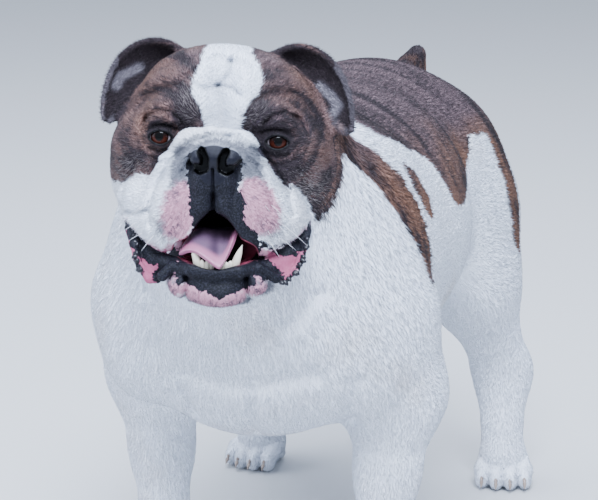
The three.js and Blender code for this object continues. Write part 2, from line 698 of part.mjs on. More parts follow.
// Paws, of a finer net, with the claws grown on
for (const { name, at, turn, size } of paws) {
  let paw = flesh(bodyField, [at[0] - 48, at[1] - 60, -4], [at[0] + 48, at[1] + 56, PAW_TOP + 12], 3.5, 420);
  paw = largest(paw.intersect(floor).subtract(sideOf([0, 0, PAW_TOP], [0, 0, 1], -GAP / 2)));
  for (const t of TOES) {
    const [x, y] = onPaw(at, turn, size, 15 * t, 42 - 5 * Math.abs(t));
    const lie = new THREE.Quaternion().setFromEuler(new THREE.Euler(rad(118), 0, rad(turn), "ZYX"));
    const claw = new THREE.ConeGeometry(3.8 * size, 22 * size, 7);
    const place = new THREE.Matrix4().compose(new THREE.Vector3(x, y, 11 * size), lie, new THREE.Vector3(1, 1, 1));
    paw = paw.add(solidOf(claw, place));
  }
  addPart(name, largest(paw.intersect(floor)), whiteCoat);
}

// Ear: a leaf bent over at the top, hollowed towards the front, of two like sheets joined round the rim
function earSolid(s) {
  const along = 12;
  const across = 6;
  const spine = new THREE.QuadraticBezierCurve3(
    new THREE.Vector3(38, 62, 48),
    new THREE.Vector3(74, 55, 64),
    new THREE.Vector3(s > 0 ? 98 : 91, 34, 8),
  );
  const backward = new THREE.Vector3(0.2, 1, 0.1).normalize();
  const place = (i, j, side) => {
    const u = i / along;
    const v = (2 * j) / across - 1;
    const half = 2.5 + 17 * Math.pow(Math.sin(Math.PI * (0.12 + 0.88 * Math.pow(u, 0.8))), 0.75);
    const cup = 2 + 11 * (1 - u);
    const thick = 1.4 + 1.2 * (1 - u);
    const tangent = spine.getTangent(u);
    const outward = new THREE.Vector3().crossVectors(tangent, backward).normalize();
    const p = spine.getPoint(u).addScaledVector(outward, half * v).addScaledVector(backward, cup * (1 - v * v));
    p.addScaledVector(backward, side * thick * (1 - 0.45 * v * v));
    return [s * p.x, p.y, p.z];
  };
  const points = [];
  const number = (i, j, side) => (side > 0 ? 0 : (along + 1) * (across + 1)) + i * (across + 1) + j;
  for (const side of [1, -1])
    for (let i = 0; i <= along; i++) for (let j = 0; j <= across; j++) points.push(...place(i, j, side));
  const faces = [];
  const quad = (a, b, c, d) => faces.push([a, b, c], [a, c, d]);
  for (let i = 0; i < along; i++)
    for (let j = 0; j < across; j++) {
      quad(number(i, j, 1), number(i, j + 1, 1), number(i + 1, j + 1, 1), number(i + 1, j, 1));
      faces.push([number(i, j, -1), number(i + 1, j + 1, -1), number(i, j + 1, -1)]);
      faces.push([number(i, j, -1), number(i + 1, j, -1), number(i + 1, j + 1, -1)]);
    }
  for (let i = 0; i < along; i++) {
    quad(number(i, 0, 1), number(i + 1, 0, 1), number(i + 1, 0, -1), number(i, 0, -1));
    quad(number(i, across, 1), number(i, across, -1), number(i + 1, across, -1), number(i + 1, across, 1));
  }
  for (let j = 0; j < across; j++) {
    quad(number(0, j, 1), number(0, j, -1), number(0, j + 1, -1), number(0, j + 1, 1));
    quad(number(along, j, 1), number(along, j + 1, 1), number(along, j + 1, -1), number(along, j, -1));
  }
  const solid = solidFrom(points, faces.flat());
  return solid.volume() > 0 ? solid : solidFrom(points, faces.map(([a, b, c]) => [a, c, b]).flat());
}

// Head: meshed finely, then the eyes, nose, ears, jaw and tongue parted from it
const headWeight = ([x, y, z]) => (y < 14 ? 3 : 1);
let head = flesh(wholeInHead, [-118, -76, -146], [118, 150, 96], 3, 4300, headWeight);
head = largest(head.intersect(headRegion(GAP / 2)));

for (const [side, s] of [["left", 1], ["right", -1]]) {
  const centre = [s * EYE_X, EYE_Y, 0];
  const socket = EYE_RADIUS + GAP;
  addPart(`eye_${side}`, ball(centre, [EYE_RADIUS, EYE_RADIUS, EYE_RADIUS], [90, 0, 0], 20), eyeBrown, headGroup);
  // The opening between the lids has the shape of an almond.
  const almond = new THREE.Shape();
  almond.moveTo(-s * LID_WIDTH / 2, -1);
  almond.quadraticCurveTo(-s, LID_HEIGHT - 1, s * LID_WIDTH / 2, 0);
  almond.quadraticCurveTo(s, -LID_HEIGHT - 1, -s * LID_WIDTH / 2, -1);
  const look = new THREE.Matrix4().compose(
    new THREE.Vector3(...centre),
    new THREE.Quaternion().setFromEuler(new THREE.Euler(rad(90), 0, rad(s * 8), "ZYX")),
    new THREE.Vector3(1, 1, 1),
  );
  const opening = new THREE.ExtrudeGeometry(almond, { depth: 40, bevelEnabled: false, curveSegments: 6 });
  head = head.subtract(ball(centre, [socket, socket, socket], [90, 0, 0], 20)).subtract(solidOf(opening, look));
}
head = largest(head);

// Nose leather, of a finer net
const noseFlesh = flesh(wholeInHead, [-34, -70, -42], [34, -8, 16], 1.7, 640);
const noseAt = [[0, -46, -12.5], [27, 20, 16.5]];
addPart("nose", largest(noseFlesh.intersect(ball(...noseAt, [0, 0, 0], 32))), leather, headGroup);
head = largest(head.subtract(ball(noseAt[0], noseAt[1].map((r) => r + GAP), [0, 0, 0], 32)));

// Ears
for (const [side, s] of [["left", 1], ["right", -1]]) {
  head = head.add(earSolid(s));
  const earPlane = [[s * 67, 45, 46], [s * 0.93, -0.1, 0.37]];
  const beyond = (shift) =>
    sideOf(...earPlane, shift).intersect(sideOf([0, 8, 0], [0, 1, 0])).intersect(sideOf([0, 0, -8], [0, 0, 1]));
  addPart(`ear_${side}`, largest(head.intersect(beyond(GAP / 2))), brindleCoat, headGroup);
  head = head.subtract(beyond(-GAP / 2));
}

// Tongue, rooted in the flat back wall of the mouth
const THROAT_Y = 7;
const wall = new THREE.BoxGeometry(44, 14, 20);
head = head.subtract(solidOf(wall, new THREE.Matrix4().makeTranslation(0, THROAT_Y - 7, -79)));
const tongueBox = [[-36, -60, -104], [36, 32, -58]];
const tongue = flesh(tongueField, ...tongueBox, 2, 340);
const TONGUE_ROOM = 0.8; // clear space round the tongue
const tongueRoom = flesh((x, y, z) => tongueField(x, y, z) - TONGUE_ROOM, ...tongueBox, 2, 340);
addPart("tongue", largest(tongue.subtract(sideOf([0, THROAT_Y, 0], [0, 1, 0], -GAP))), wetSkin, headGroup);

// The jaw parts from the head along the line of the lips, which is lowest in the middle.
const LIP_LINE = [[0, -86], [24, -92], [34, -94.5], [46, -92], [60, -87], [74, -75], [130, -58]];
function belowLips(shift) {
  const right = LIP_LINE.slice(1).reverse().map(([x, z]) => [-x, z]);
  const outline = [[-130, -300], ...right, ...LIP_LINE, [130, -300]];
  const shape = new THREE.Shape(outline.map(([x, z]) => new THREE.Vector2(x, z + shift)));
  const slab = new THREE.ExtrudeGeometry(shape, { depth: 400, bevelEnabled: false });
  return solidOf(slab, new THREE.Matrix4().makeRotationX(rad(90)).setPosition(0, 200, 0));
}
let jaw = largest(head.intersect(belowLips(-0.2)));
head = largest(head.subtract(belowLips(0.2)));

// Teeth of the lower jaw, their roots sunk in it: a fang and three cutting teeth on each side. The upper lip
// is cut clear of them.
const FANG_X = 16.5;
const TOOTH_ROOM = 0.5;
function teeth(room) {
  return both((s) => {
    const lean = new THREE.Matrix4().makeRotationFromEuler(new THREE.Euler(rad(6), rad(s * 14), 0));
    lean.setPosition(JAW_X + s * FANG_X, -44, -89);
    const fang = solidOf(new THREE.ConeGeometry(5 + room, 24 + 3 * room, 9).rotateX(rad(90)), lean);
    const cutting = [1, 2, 3].map((n) =>
      ball([JAW_X + s * (4 * n - 1.9), -48 + 0.4 * n, -91], [2 + room, 1.7 + room, 5.5 + room], [0, 0, 0], 8),
    );
    return [fang, ...cutting];
  });
}
jaw = teeth(0).reduce((solid, tooth) => solid.add(tooth), jaw);
head = teeth(TOOTH_ROOM).reduce((solid, tooth) => solid.subtract(tooth), head);
addPart("jaw", largest(jaw.subtract(tongueRoom)), whiteCoat, headGroup);
addPart("head", largest(head.subtract(tongueRoom)), brindleCoat, headGroup);

export default dog;
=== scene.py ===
# %% [markdown]
# # An english bulldog, life size
#
# This lesson dresses a frame of plain solids as a living dog: one skin over the whole body, short fur
# that follows its lie, wet eyes, a leather nose, a tongue and teeth. The frame holds the true sizes.
# Blender adds what the eye sees. Every cell says what a piece is on the real dog, how it could be made,
# and why this way was chosen.

# %% Load the frame
import math
import time
from concurrent.futures import ThreadPoolExecutor
import bmesh
import bpy
import numpy as np
import openvdb
from mathutils import Matrix, Vector
from mathutils.bvhtree import BVHTree


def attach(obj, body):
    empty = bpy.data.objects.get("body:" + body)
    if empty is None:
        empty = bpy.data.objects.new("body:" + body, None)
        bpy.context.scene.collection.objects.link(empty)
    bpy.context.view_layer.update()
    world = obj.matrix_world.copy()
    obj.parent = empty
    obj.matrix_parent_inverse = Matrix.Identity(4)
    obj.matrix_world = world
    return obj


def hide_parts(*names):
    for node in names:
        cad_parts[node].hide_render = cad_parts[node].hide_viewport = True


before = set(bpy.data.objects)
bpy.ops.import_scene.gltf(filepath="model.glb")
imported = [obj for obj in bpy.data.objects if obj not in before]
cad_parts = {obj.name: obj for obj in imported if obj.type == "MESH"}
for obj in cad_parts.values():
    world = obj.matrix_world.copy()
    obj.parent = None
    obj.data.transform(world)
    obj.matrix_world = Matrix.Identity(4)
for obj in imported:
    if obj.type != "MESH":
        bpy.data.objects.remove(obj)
bpy.context.view_layer.update()

# %% [markdown]
# ## The camera
#
# The camera comes first, because everything after it is judged from it. A long lens, a little higher than
# the dog, looks down at it and stands a little to its left. The lens is worked out from how many pixels a
# tangent of one spans, so that the picture keeps its framing at any size.

# %% Camera
PIXELS_WIDE = 598
LENS_PIXELS = 2360
MIDDLE = (-4.0, 24.0, 0.0)  # the frame's middle, in mm, from the point that the body was laid out round


def look_from(name, place, azimuth, down):
    """A camera at a place, turned round to the dog's left by azimuth, looking down by some degrees."""
    data = bpy.data.cameras.new(name)
    data.sensor_width = 36.0
    data.lens = LENS_PIXELS / PIXELS_WIDE * data.sensor_width
    camera = bpy.data.objects.new(name, data)
    bpy.context.scene.collection.objects.link(camera)
    a, e = math.radians(azimuth), math.radians(down)
    ahead = Vector((-math.sin(a) * math.cos(e), math.cos(a) * math.cos(e), -math.sin(e)))
    right = Vector((math.cos(a), math.sin(a), 0.0))
    up = right.cross(ahead)
    camera.matrix_world = Matrix.Translation(place) @ Matrix((right, up, -ahead)).transposed().to_4x4()
    return camera


camera = look_from("Camera", Vector((0.608, -1.924, 0.75)) + Vector(MIDDLE) / 1000, 18, 13.5)
bpy.context.scene.camera = camera
print("lens", round(camera.data.lens, 1), "mm")

# %% [markdown]
# ## Flesh as a field
#
# A dog's outline is made by masses of muscle and bone under one skin. Such a form can be sculpted by
# hand, built from metaballs, or worked out as a signed distance: a number for every point in space,
# negative inside the flesh. A distance is the most exact of the three, and a mass can be named, sized and
# moved by its numbers. A smooth minimum lets two masses melt together, and its negative lets one be
# hollowed out of another.
#
# All lengths in this part are in millimetres, as on a maker's drawing. Points are arrays of three rows.

# %% Distances of the basic forms
FAR = 1e3  # a distance, in mm, where nothing is near
TINY = 1e-9


def melt(a, b, k):
    """The smaller of two distances, with the corner between them rounded over a width of k."""
    if k <= 0:
        return np.minimum(a, b)
    h = np.maximum(k - np.abs(a - b), 0.0) / k
    return np.minimum(a, b) - h * h * k * 0.25


def turn_matrix(degrees, order="XYZ"):
    """Rows of a rotation by degrees about x, y and z."""
    x, y, z = (math.radians(v) for v in degrees)
    rx = np.array([[1, 0, 0], [0, math.cos(x), -math.sin(x)], [0, math.sin(x), math.cos(x)]])
    ry = np.array([[math.cos(y), 0, math.sin(y)], [0, 1, 0], [-math.sin(y), 0, math.cos(y)]])
    rz = np.array([[math.cos(z), -math.sin(z), 0], [math.sin(z), math.cos(z), 0], [0, 0, 1]])
    turns = {"X": rx, "Y": ry, "Z": rz}
    return turns[order[0]] @ turns[order[1]] @ turns[order[2]]


class Form:
    """A distance with a place, a reach beyond which it isn't felt, and a way to join what came before it."""

    def __init__(self, at, reach, distance, k, way="melt"):
        self.at = np.asarray(at, dtype=np.float32).reshape(3, 1)
        self.reach = reach
        self.distance = distance
        self.k = k
        self.way = way

    def join(self, d, points, lo, hi):
        """Joins this form to the distances d at points, which lie in a box from lo to hi."""
        outside = np.maximum(np.maximum(lo - self.at, self.at - hi), 0)
        felt = self.k + (d.max() if self.way == "melt" else -d.min() if self.way == "cut" else 0)
        if math.sqrt(float((outside ** 2).sum())) - self.reach > felt:
            return
        away = np.sqrt(((points - self.at) ** 2).sum(axis=0)) - self.reach
        near = away < (self.k - d if self.way == "cut" else d + self.k if self.way == "melt" else self.k)
        if near.any():
            own = self.distance(points[:, near])
            if self.way == "melt":
                d[near] = melt(d[near], own, self.k)
            elif self.way == "cut":
                d[near] = -melt(-d[near], own, self.k)
            else:
                d[near] += own


def mass(at, radii, k=30.0, turn=(0, 0, 0), cut=False):
    """An ellipsoid: a belly of muscle, a bone's end, a pad."""
    at = np.asarray(at, dtype=np.float32).reshape(3, 1)
    spin = turn_matrix(turn).T.astype(np.float32)
    r = np.asarray(radii, dtype=np.float32).reshape(3, 1)

    def distance(points):
        q = (spin @ (points - at)) / r
        k0 = np.sqrt((q * q).sum(axis=0))
        k1 = np.sqrt(((q / r) ** 2).sum(axis=0))
        return np.where(k1 > TINY, k0 * (k0 - 1) / np.maximum(k1, TINY), -r.min()).astype(np.float32)

    return Form(at, max(radii), distance, k, "cut" if cut else "melt")


def limb(a, b, ra, rb, k=25.0, cut=False):
    """A cone with round ends: a stretch of leg, tail, lip or fold."""
    a, b = (np.asarray(v, dtype=np.float32).reshape(3, 1) for v in (a, b))
    ba = b - a
    long2 = float((ba * ba).sum())
    rr = ra - rb
    a2 = long2 - rr * rr

    def distance(points):
        p = points - a
        y = (p * ba).sum(axis=0)
        z = y - long2
        x2 = ((p * long2 - ba * y) ** 2).sum(axis=0)
        y2 = y * y * long2
        z2 = z * z * long2
        kk = np.sign(rr) * rr * rr * x2
        side = (np.sqrt(x2 * a2 / long2) + y * rr) / long2 - ra
        low = np.sqrt(x2 + y2) / long2 - ra
        high = np.sqrt(x2 + z2) / long2 - rb
        out = np.where(np.sign(z) * a2 * z2 > kk, high, np.where(np.sign(y) * a2 * y2 < kk, low, side))
        return out.astype(np.float32)

    return Form((a + b) / 2, math.sqrt(long2) / 2 + max(ra, rb), distance, k, "cut" if cut else "melt")


def chain(stops, k=18.0, cut=False):
    """Limbs through stops, each x, y, z and a radius."""
    return [limb(a[:3], b[:3], a[3], b[3], k, cut) for a, b in zip(stops, stops[1:])]


def both(make):
    """A form on the left side and its mirror image on the right."""
    return [form for side in (1, -1) for form in make(side)]


def field_of(forms):
    """All the forms as one field. Each joins what came before it."""

    def field(points):
        d = np.full(points.shape[1], FAR, dtype=np.float32)
        lo, hi = points.min(axis=1, keepdims=True), points.max(axis=1, keepdims=True)
        for form in forms:
            form.join(d, points, lo, hi)
        return d

    return field


def everywhere(field, points, size=40000):
    """A field at many points, in batches of near neighbours, four batches at a time."""
    batches = [points[:, i:i + size] for i in range(0, points.shape[1], size)]
    with ThreadPoolExecutor(4) as workers:
        return np.concatenate(list(workers.map(field, batches)))


def group(forms, k):
    """Forms that have melted together, met by the others as one."""
    lo = np.min([f.at[:, 0] - f.reach for f in forms], axis=0)
    hi = np.max([f.at[:, 0] + f.reach for f in forms], axis=0)
    return Form((lo + hi) / 2, float(np.linalg.norm(hi - lo)) / 2, field_of(forms), k)


def off_line(stops, points):
    """How far points are, as seen from the front, from a line of places x and z."""
    best = np.full(points.shape[1], FAR, dtype=np.float32)
    for (ax, az), (bx, bz) in zip(stops, stops[1:]):
        dx, dz = bx - ax, bz - az
        t = np.clip(((points[0] - ax) * dx + (points[2] - az) * dz) / (dx * dx + dz * dz), 0, 1)
        best = np.minimum(best, np.hypot(points[0] - ax - t * dx, points[2] - az - t * dz))
    return best


CREASE_FADE, CREASE_DEEP = 25, 60  # how far behind a crease fades, and may be felt, in mm


def crease(stops, depth, width, level=-10, behind=45):
    """A furrow pressed into the front along a line, or a fold if its depth is negative. It fades behind."""
    lo, hi = np.min(stops, axis=0), np.max(stops, axis=0)

    def distance(points):
        front = np.clip((behind - points[1]) / CREASE_FADE, 0, 1)
        return (depth * front * np.exp(-((off_line(stops, points) / width) ** 2))).astype(np.float32)

    middle = (lo + hi) / 2
    reach = math.hypot(float(np.linalg.norm(hi - lo)) / 2 + 2.5 * width, CREASE_DEEP)
    form = Form((middle[0], level, middle[1]), reach, distance, 0, "add")
    form.line = (stops, depth, width)
    return form


ball = mass((0, 0, 0), (10, 10, 10))
print("a ball of 10 mm is", round(float(ball.distance(np.array([[15.0], [0], [0]]))[0]), 2), "mm from 15 mm")

# %% [markdown]
# ## The flesh of the body
#
# The same masses that the frame was made from, by the same main numbers: rib cage, loin, belly, rump and
# withers in the trunk, blade and upper arm in front, thigh behind. The limbs are chains of cones. The
# skin is one surface over all of it, so no seam shows where the frame has its cuts. Shallow creases are
# pressed into the breast.

# %% Body forms
WITHERS = 400
LOIN = 407
BRISKET = 150
HIP_Y = 174
HALF_TRUNK = 132
HALF_HIP = 102

trunk = [
    mass([0, -50, 282], [HALF_TRUNK, 176, 120]),  # rib cage
    mass([0, 72, LOIN - 88], [106, 146, 88], 60),  # back and loin
    mass([0, 50, 262], [108, 135, 74], 50),  # belly
    mass([0, HIP_Y, LOIN - 90], [HALF_HIP, 92, 90], 50),  # rump
    mass([0, -125, WITHERS - 44], [62, 92, 46], 50),  # withers
    mass([0, -172, 238], [104, 62, 76], 45),  # chest between the shoulders
    mass([0, -110, BRISKET + 56], [86, 115, 56], 45),  # brisket
] + both(lambda s: [
    mass([s * 76, -118, 312], [50, 76, 82], 40, (12, 0, 0)),  # shoulder blade
    mass([s * 94, -158, 246], [43, 54, 76], 35, (-8, s * -4, 0)),  # upper arm
    mass([s * 81, HIP_Y + 8, 262], [52, 74, 102], 45, (6, s * -6, 0)),  # thigh
])

neck = [
    limb([2, -140, 310], [4, -182, 380], 94, 66, 50),
    limb([2, -175, 262], [4, -226, 316], 64, 44, 50),  # throat and dewlap
]

FORE_FEET = ((1, 101, -142, 10), (-1, -98, -140, -10))  # side, x, y and turn outwards
HIND_FEET = ((1, 126, 200, 12), (-1, -114, 182, -12))
legs = []
for s, fx, fy, _ in FORE_FEET:
    legs += chain([
        [s * 100, -146, 250, 48],
        [fx + s * 5, fy + 16, 184, 42],
        [fx + s, fy + 12, 112, 25],
        [fx - s * 2, fy + 8, 60, 22.5],
    ])
for s, fx, fy, _ in HIND_FEET:
    legs += chain([
        [s * 82, HIP_Y, 268, 54],
        [s * 102, HIP_Y - 12, 206, 38],
        [fx - s * 7, fy + 16, 106, 24],
        [fx, fy - 10, 32, 20],
    ], 26)

TOES = (-1.5, -0.5, 0.5, 1.5)


def on_paw(foot, size, across, ahead, up):
    """A place on a paw by how far it is across, ahead of the wrist and above the floor."""
    _, x, y, turn = foot
    c, s = math.cos(math.radians(turn)) * size, math.sin(math.radians(turn)) * size
    return [x + across * c + ahead * s, y - ahead * c + across * s, up * size]


def paw_forms(foot, size):
    """Pad, foot and four arched toes in a bow."""
    turn = foot[3]
    forms = [
        mass(on_paw(foot, size, 0, -2, 24), [25 * size, 26 * size, 22 * size], 16),
        mass(on_paw(foot, size, 0, -8, 9), [21 * size, 20 * size, 10 * size], 10),
    ]
    for t in TOES:
        out, ahead = 15 * t, 32 - 5 * abs(t)
        back, tip = on_paw(foot, size, out * 0.75, ahead - 24, 24), on_paw(foot, size, out, ahead - 6, 19)
        forms.append(limb(back, tip, 9 * size, 10 * size, 5))
        ball = [8.5 * size, 11 * size, 11.5 * size]
        forms.append(mass(on_paw(foot, size, out, ahead + 2, 11), ball, 4, (0, 0, turn)))
    return forms


PAWS = [(foot, 1.0) for foot in FORE_FEET] + [(foot, 0.9) for foot in HIND_FEET]
tail = chain([
    [0, HIP_Y + 54, 350, 24],
    [2, HIP_Y + 80, 360, 17],
    [8, HIP_Y + 94, 382, 14],
    [16, HIP_Y + 93, 400, 10],
], 14)

BREAST = [(-58, 226), (-38, 220), (-12, 217), (12, 216), (22, 217), (63, 225), (93, 236)]
chest_folds = [
    crease([(x, z + 18) for x, z in BREAST], -3.0, 20, -220, -140),  # the breast stands over the lower chest
    crease([(x, z - 6) for x, z in BREAST[1:-1]], 3.6, 11, -220, -140),
    crease([(21, 216), (19, 200), (16, 182), (10, 158)], 3.5, 5, -215, -130),  # the middle of the breast
    crease([(-44, 210), (-40, 192), (-38, 176)], 4.5, 6, -215, -130),  # the armpits
    crease([(98, 214), (94, 192), (84, 168)], 4.5, 6, -200, -130),
    crease([(52, 262), (62, 270), (72, 286)], 3.0, 8, -240, -150),
    crease([(-66, 258), (-72, 276)], 2.5, 9, -240, -150),
]
paws = [form for foot, size in PAWS for form in paw_forms(foot, size)]
body_forms = trunk + neck + legs + paws + tail + chest_folds
body_field = field_of(body_forms)
print(len(body_forms), "masses in the body")

# %% [markdown]
# ## The head
#
# A bulldog's head is a broad box: wide cheeks, a short nose set back between the eyes, and a heavy roll
# of skin that runs over the nose and hangs down as flews on both sides of the mouth. It is laid out in a
# frame of its own, whose origin lies between the eyes, so that left and right stay alike while the head
# turns.

# %% Head forms
HEAD_AT = (3, -259, 412)
HEAD_TURN = turn_matrix((-6, 2, 15.5), "ZXY")
EYE_X, EYE_Y, EYE_RADIUS = 44.5, 6, 12
JAW_X = 3  # the jaw hangs a little towards the dog's left

skull = [
    mass([0, 60, 20], [66, 72, 48], 20),  # cranium
    mass([0, 34, 36], [60, 38, 31], 20),  # forehead
] + both(lambda s: [
    mass([s * 56 - 2, 46, -24], [31, 45, 50], 24),  # cheek
    mass([s * 57, 16, -8], [24, 21, 20], 18),  # cheekbone
    mass([s * 36, 5, 21], [23, 16, 12], 10, (0, s * 10, s * -14)),  # brow
    mass([s * 41, -3, 12.5], [17, 11, 5.5], 5, (0, s * 6, s * -10)),  # fold over the upper lid
    mass([s * 46, -12, -1], [18, 9, 12], 8, cut=True),  # hollow of the eye
    mass([s * EYE_X, EYE_Y, 0], [EYE_RADIUS + 4.5, EYE_RADIUS + 3.2, EYE_RADIUS + 3.5], 4),  # lids
]) + chain([[0, -10, 16, 5], [0, -8, 42, 6], [0, 6, 70, 5]], 14, cut=True)  # furrow

muzzle = [mass([0, -6, -34], [42, 34, 30])] + both(lambda s: chain([
    [0, -31, -1, 13.5],
    [s * 18, -30, -4, 13.5],
    [s * 31, -25, -20, 13.5],
    [s * 39, -19, -38, 14],
    [s * 54, -8, -56, 14],
], 6) + [  # the roll of skin over the nose
    mass([s * 31, -32, -52], [22, 21, 34], 8, (0, s * -16, 0)),  # flew in front
    mass([s * 50, -12, -60], [20, 30, 24], 10, (0, 0, s * -14)),  # flew at the side
]) + [mass([-60, 0, -47], [18, 22, 17], 8)]  # the fuller right cheek

nose_forms = [
    mass([0, -43, -10], [18, 12.5, 11], 5),
    mass([0, -38, -26], [17, 13, 15], 8),  # root of the lip
] + both(lambda s: [
    mass([s * 13, -45.5, -10.5], [8.6, 11.5, 8.2], 2.5),  # wing of the nostril
    limb([s * 8.5, -43, -26], [s * 9, -43, -46], 8.5, 8, 4),  # half of the upper lip, with a groove between
    limb([s * 9, -43, -46], [s * 23 + 2, -42, -71], 8, 8, 5),
]) + [limb([0, -55, -17], [0, -52.5, -52], 1.0, 2.0, 1.2, cut=True)]  # groove of the lip

jaw = [
    mass([JAW_X, -30, -106], [34, 22, 15], 12),  # chin
    mass([JAW_X + 2.5, -41, -112], [21, 15, 11], 4),  # its three lobes
    mass([-22, -39, -107], [10, 12, 10], 3),
    mass([34, -39, -104], [10, 12, 9.5], 3),
    mass([JAW_X, 4, -104], [42, 46, 20], 20),  # floor of the mouth
] + chain([
    [-28, -40, -95, 5.5],
    [-14, -48, -95, 6.5],
    [4, -51, -96.5, 6.5],
    [22, -48, -94.5, 6.5],
    [35, -41, -92.5, 5.5],
], 3) + both(lambda s: chain([
    [JAW_X + s * 22, -34, -94, 8],
    [JAW_X + s * 41, -30, -93, 7.5],
    [JAW_X + s * 54, -20, -83, 7],
    [s * 63, 0, -68, 7],
], 6)) + chain([
    [-66, -20, -69, 3.5],
    [-60, -30, -79, 4],
    [-57, -34, -89, 4],
    [-53, -37, -97, 4],
    [-46, -39, -104, 4.5],
    [-40, -38, -105, 4],
], 3) + chain([
    [71, -10, -66, 3.5],
    [69, -20, -76, 4],
    [67, -27, -86, 4],
    [63, -31, -94, 4],
    [56, -35, -100, 4],
    [49, -37, -100, 4],
], 3) + [  # the loose edge of the lower lip, which hangs outwards, and two thick folds beside the chin
    limb([-49, -26, -82], [-45, -31, -100], 8, 7, 3),
    limb([58, -20, -82], [53, -28, -96], 8, 7, 3),
    limb([-29, -42, -93], [-36, -44, -101], 4.5, 5.5, 1.5),
    limb([37, -42, -91.5], [49, -38, -100], 4.5, 5, 1.5),
]

mouth_forms = [
    mass([JAW_X, -30, -79.5], [31, 42, 11.5], 30),
    mass([0, -14, -77], [29, 24, 15], 3),
    limb([2, -60, -50], [JAW_X, -42, -76], 1.2, 19, 2),
    mass([2, -26, -65], [14, 22, 12], 4),  # the roof, high behind the lips
]


EAR_ROWS, EAR_HALF = 24, 8  # faces along an ear's middle sheet, and across half of it


def sheet_quads(rows, wide):
    """Faces of a sheet whose points lie in rows."""
    return [(i * wide + j, i * wide + j + 1, (i + 1) * wide + j + 1, (i + 1) * wide + j)
            for i in range(rows - 1) for j in range(wide - 1)]


class Ear:
    """A leaf of skin bent over at the top: the distance to its middle sheet less half its thickness."""

    def __init__(self, s):
        self.s = s
        points = [p for i in range(EAR_ROWS + 1) for p in self.row(i / EAR_ROWS)]
        self.thick = [2.6 + 1.0 * (1 - i / EAR_ROWS) for i in range(EAR_ROWS) for _ in range(2 * EAR_HALF)]
        self.tree = BVHTree.FromPolygons(points, sheet_quads(EAR_ROWS + 1, 2 * EAR_HALF + 1))

    def row(self, u):
        ends = [Vector(v) for v in ((38, 62, 48), (74, 55, 64), (98 if self.s > 0 else 91, 34, 8))]
        back = Vector((0.2, 1, 0.1)).normalized()
        spine = (1 - u) ** 2 * ends[0] + 2 * u * (1 - u) * ends[1] + u * u * ends[2]
        along = (1 - u) * (ends[1] - ends[0]) + u * (ends[2] - ends[1])
        outward = along.cross(back).normalized()
        half = 2.5 + 17 * math.sin(math.pi * (0.12 + 0.88 * u ** 0.8)) ** 0.75
        cup = 2 + 11 * (1 - u)
        row = []
        for j in range(-EAR_HALF, EAR_HALF + 1):
            v = j / EAR_HALF
            p = spine + outward * half * v + back * cup * (1 - v * v)
            row.append((self.s * p.x, p.y, p.z))
        return row

    def distance(self, points):
        out = np.empty(points.shape[1], dtype=np.float32)
        for i, p in enumerate(points.T.tolist()):
            _, _, at, far = self.tree.find_nearest(p)
            out[i] = far - self.thick[at]
        return out

    def spots(self, points):
        """For points: the distance to the middle sheet, the share along and across it, and if in front."""
        rows = []
        for p in points.T.tolist():
            near, _, at, far = self.tree.find_nearest(p)
            along = (at // (2 * EAR_HALF) + 0.5) / EAR_ROWS
            across = (at % (2 * EAR_HALF) + 0.5) / EAR_HALF - 1
            rows.append((far, along, across, 1.0 if p[1] < near.y else 0.0))
        return np.array(rows, dtype=np.float32).T


def nostril(s):
    """A comma: an opening beside the middle of the nose that curls under, and a slit below the wing."""

    def distance(points):
        comma = [(s * 9, -5.5), (s * 6.4, -10.5), (s * 6.6, -18), (s * 10, -19.5), (s * 13, -17.5)]
        opening = off_line(comma, points) - 1.5
        slit = off_line([(s * 12, -17), (s * 17, -16.5), (s * 20, -13)], points) - 0.8
        return np.maximum(np.minimum(opening, slit), points[1] + 44).astype(np.float32)

    return Form((s * 13, -54, -14), 26, distance, 1.0, "cut")


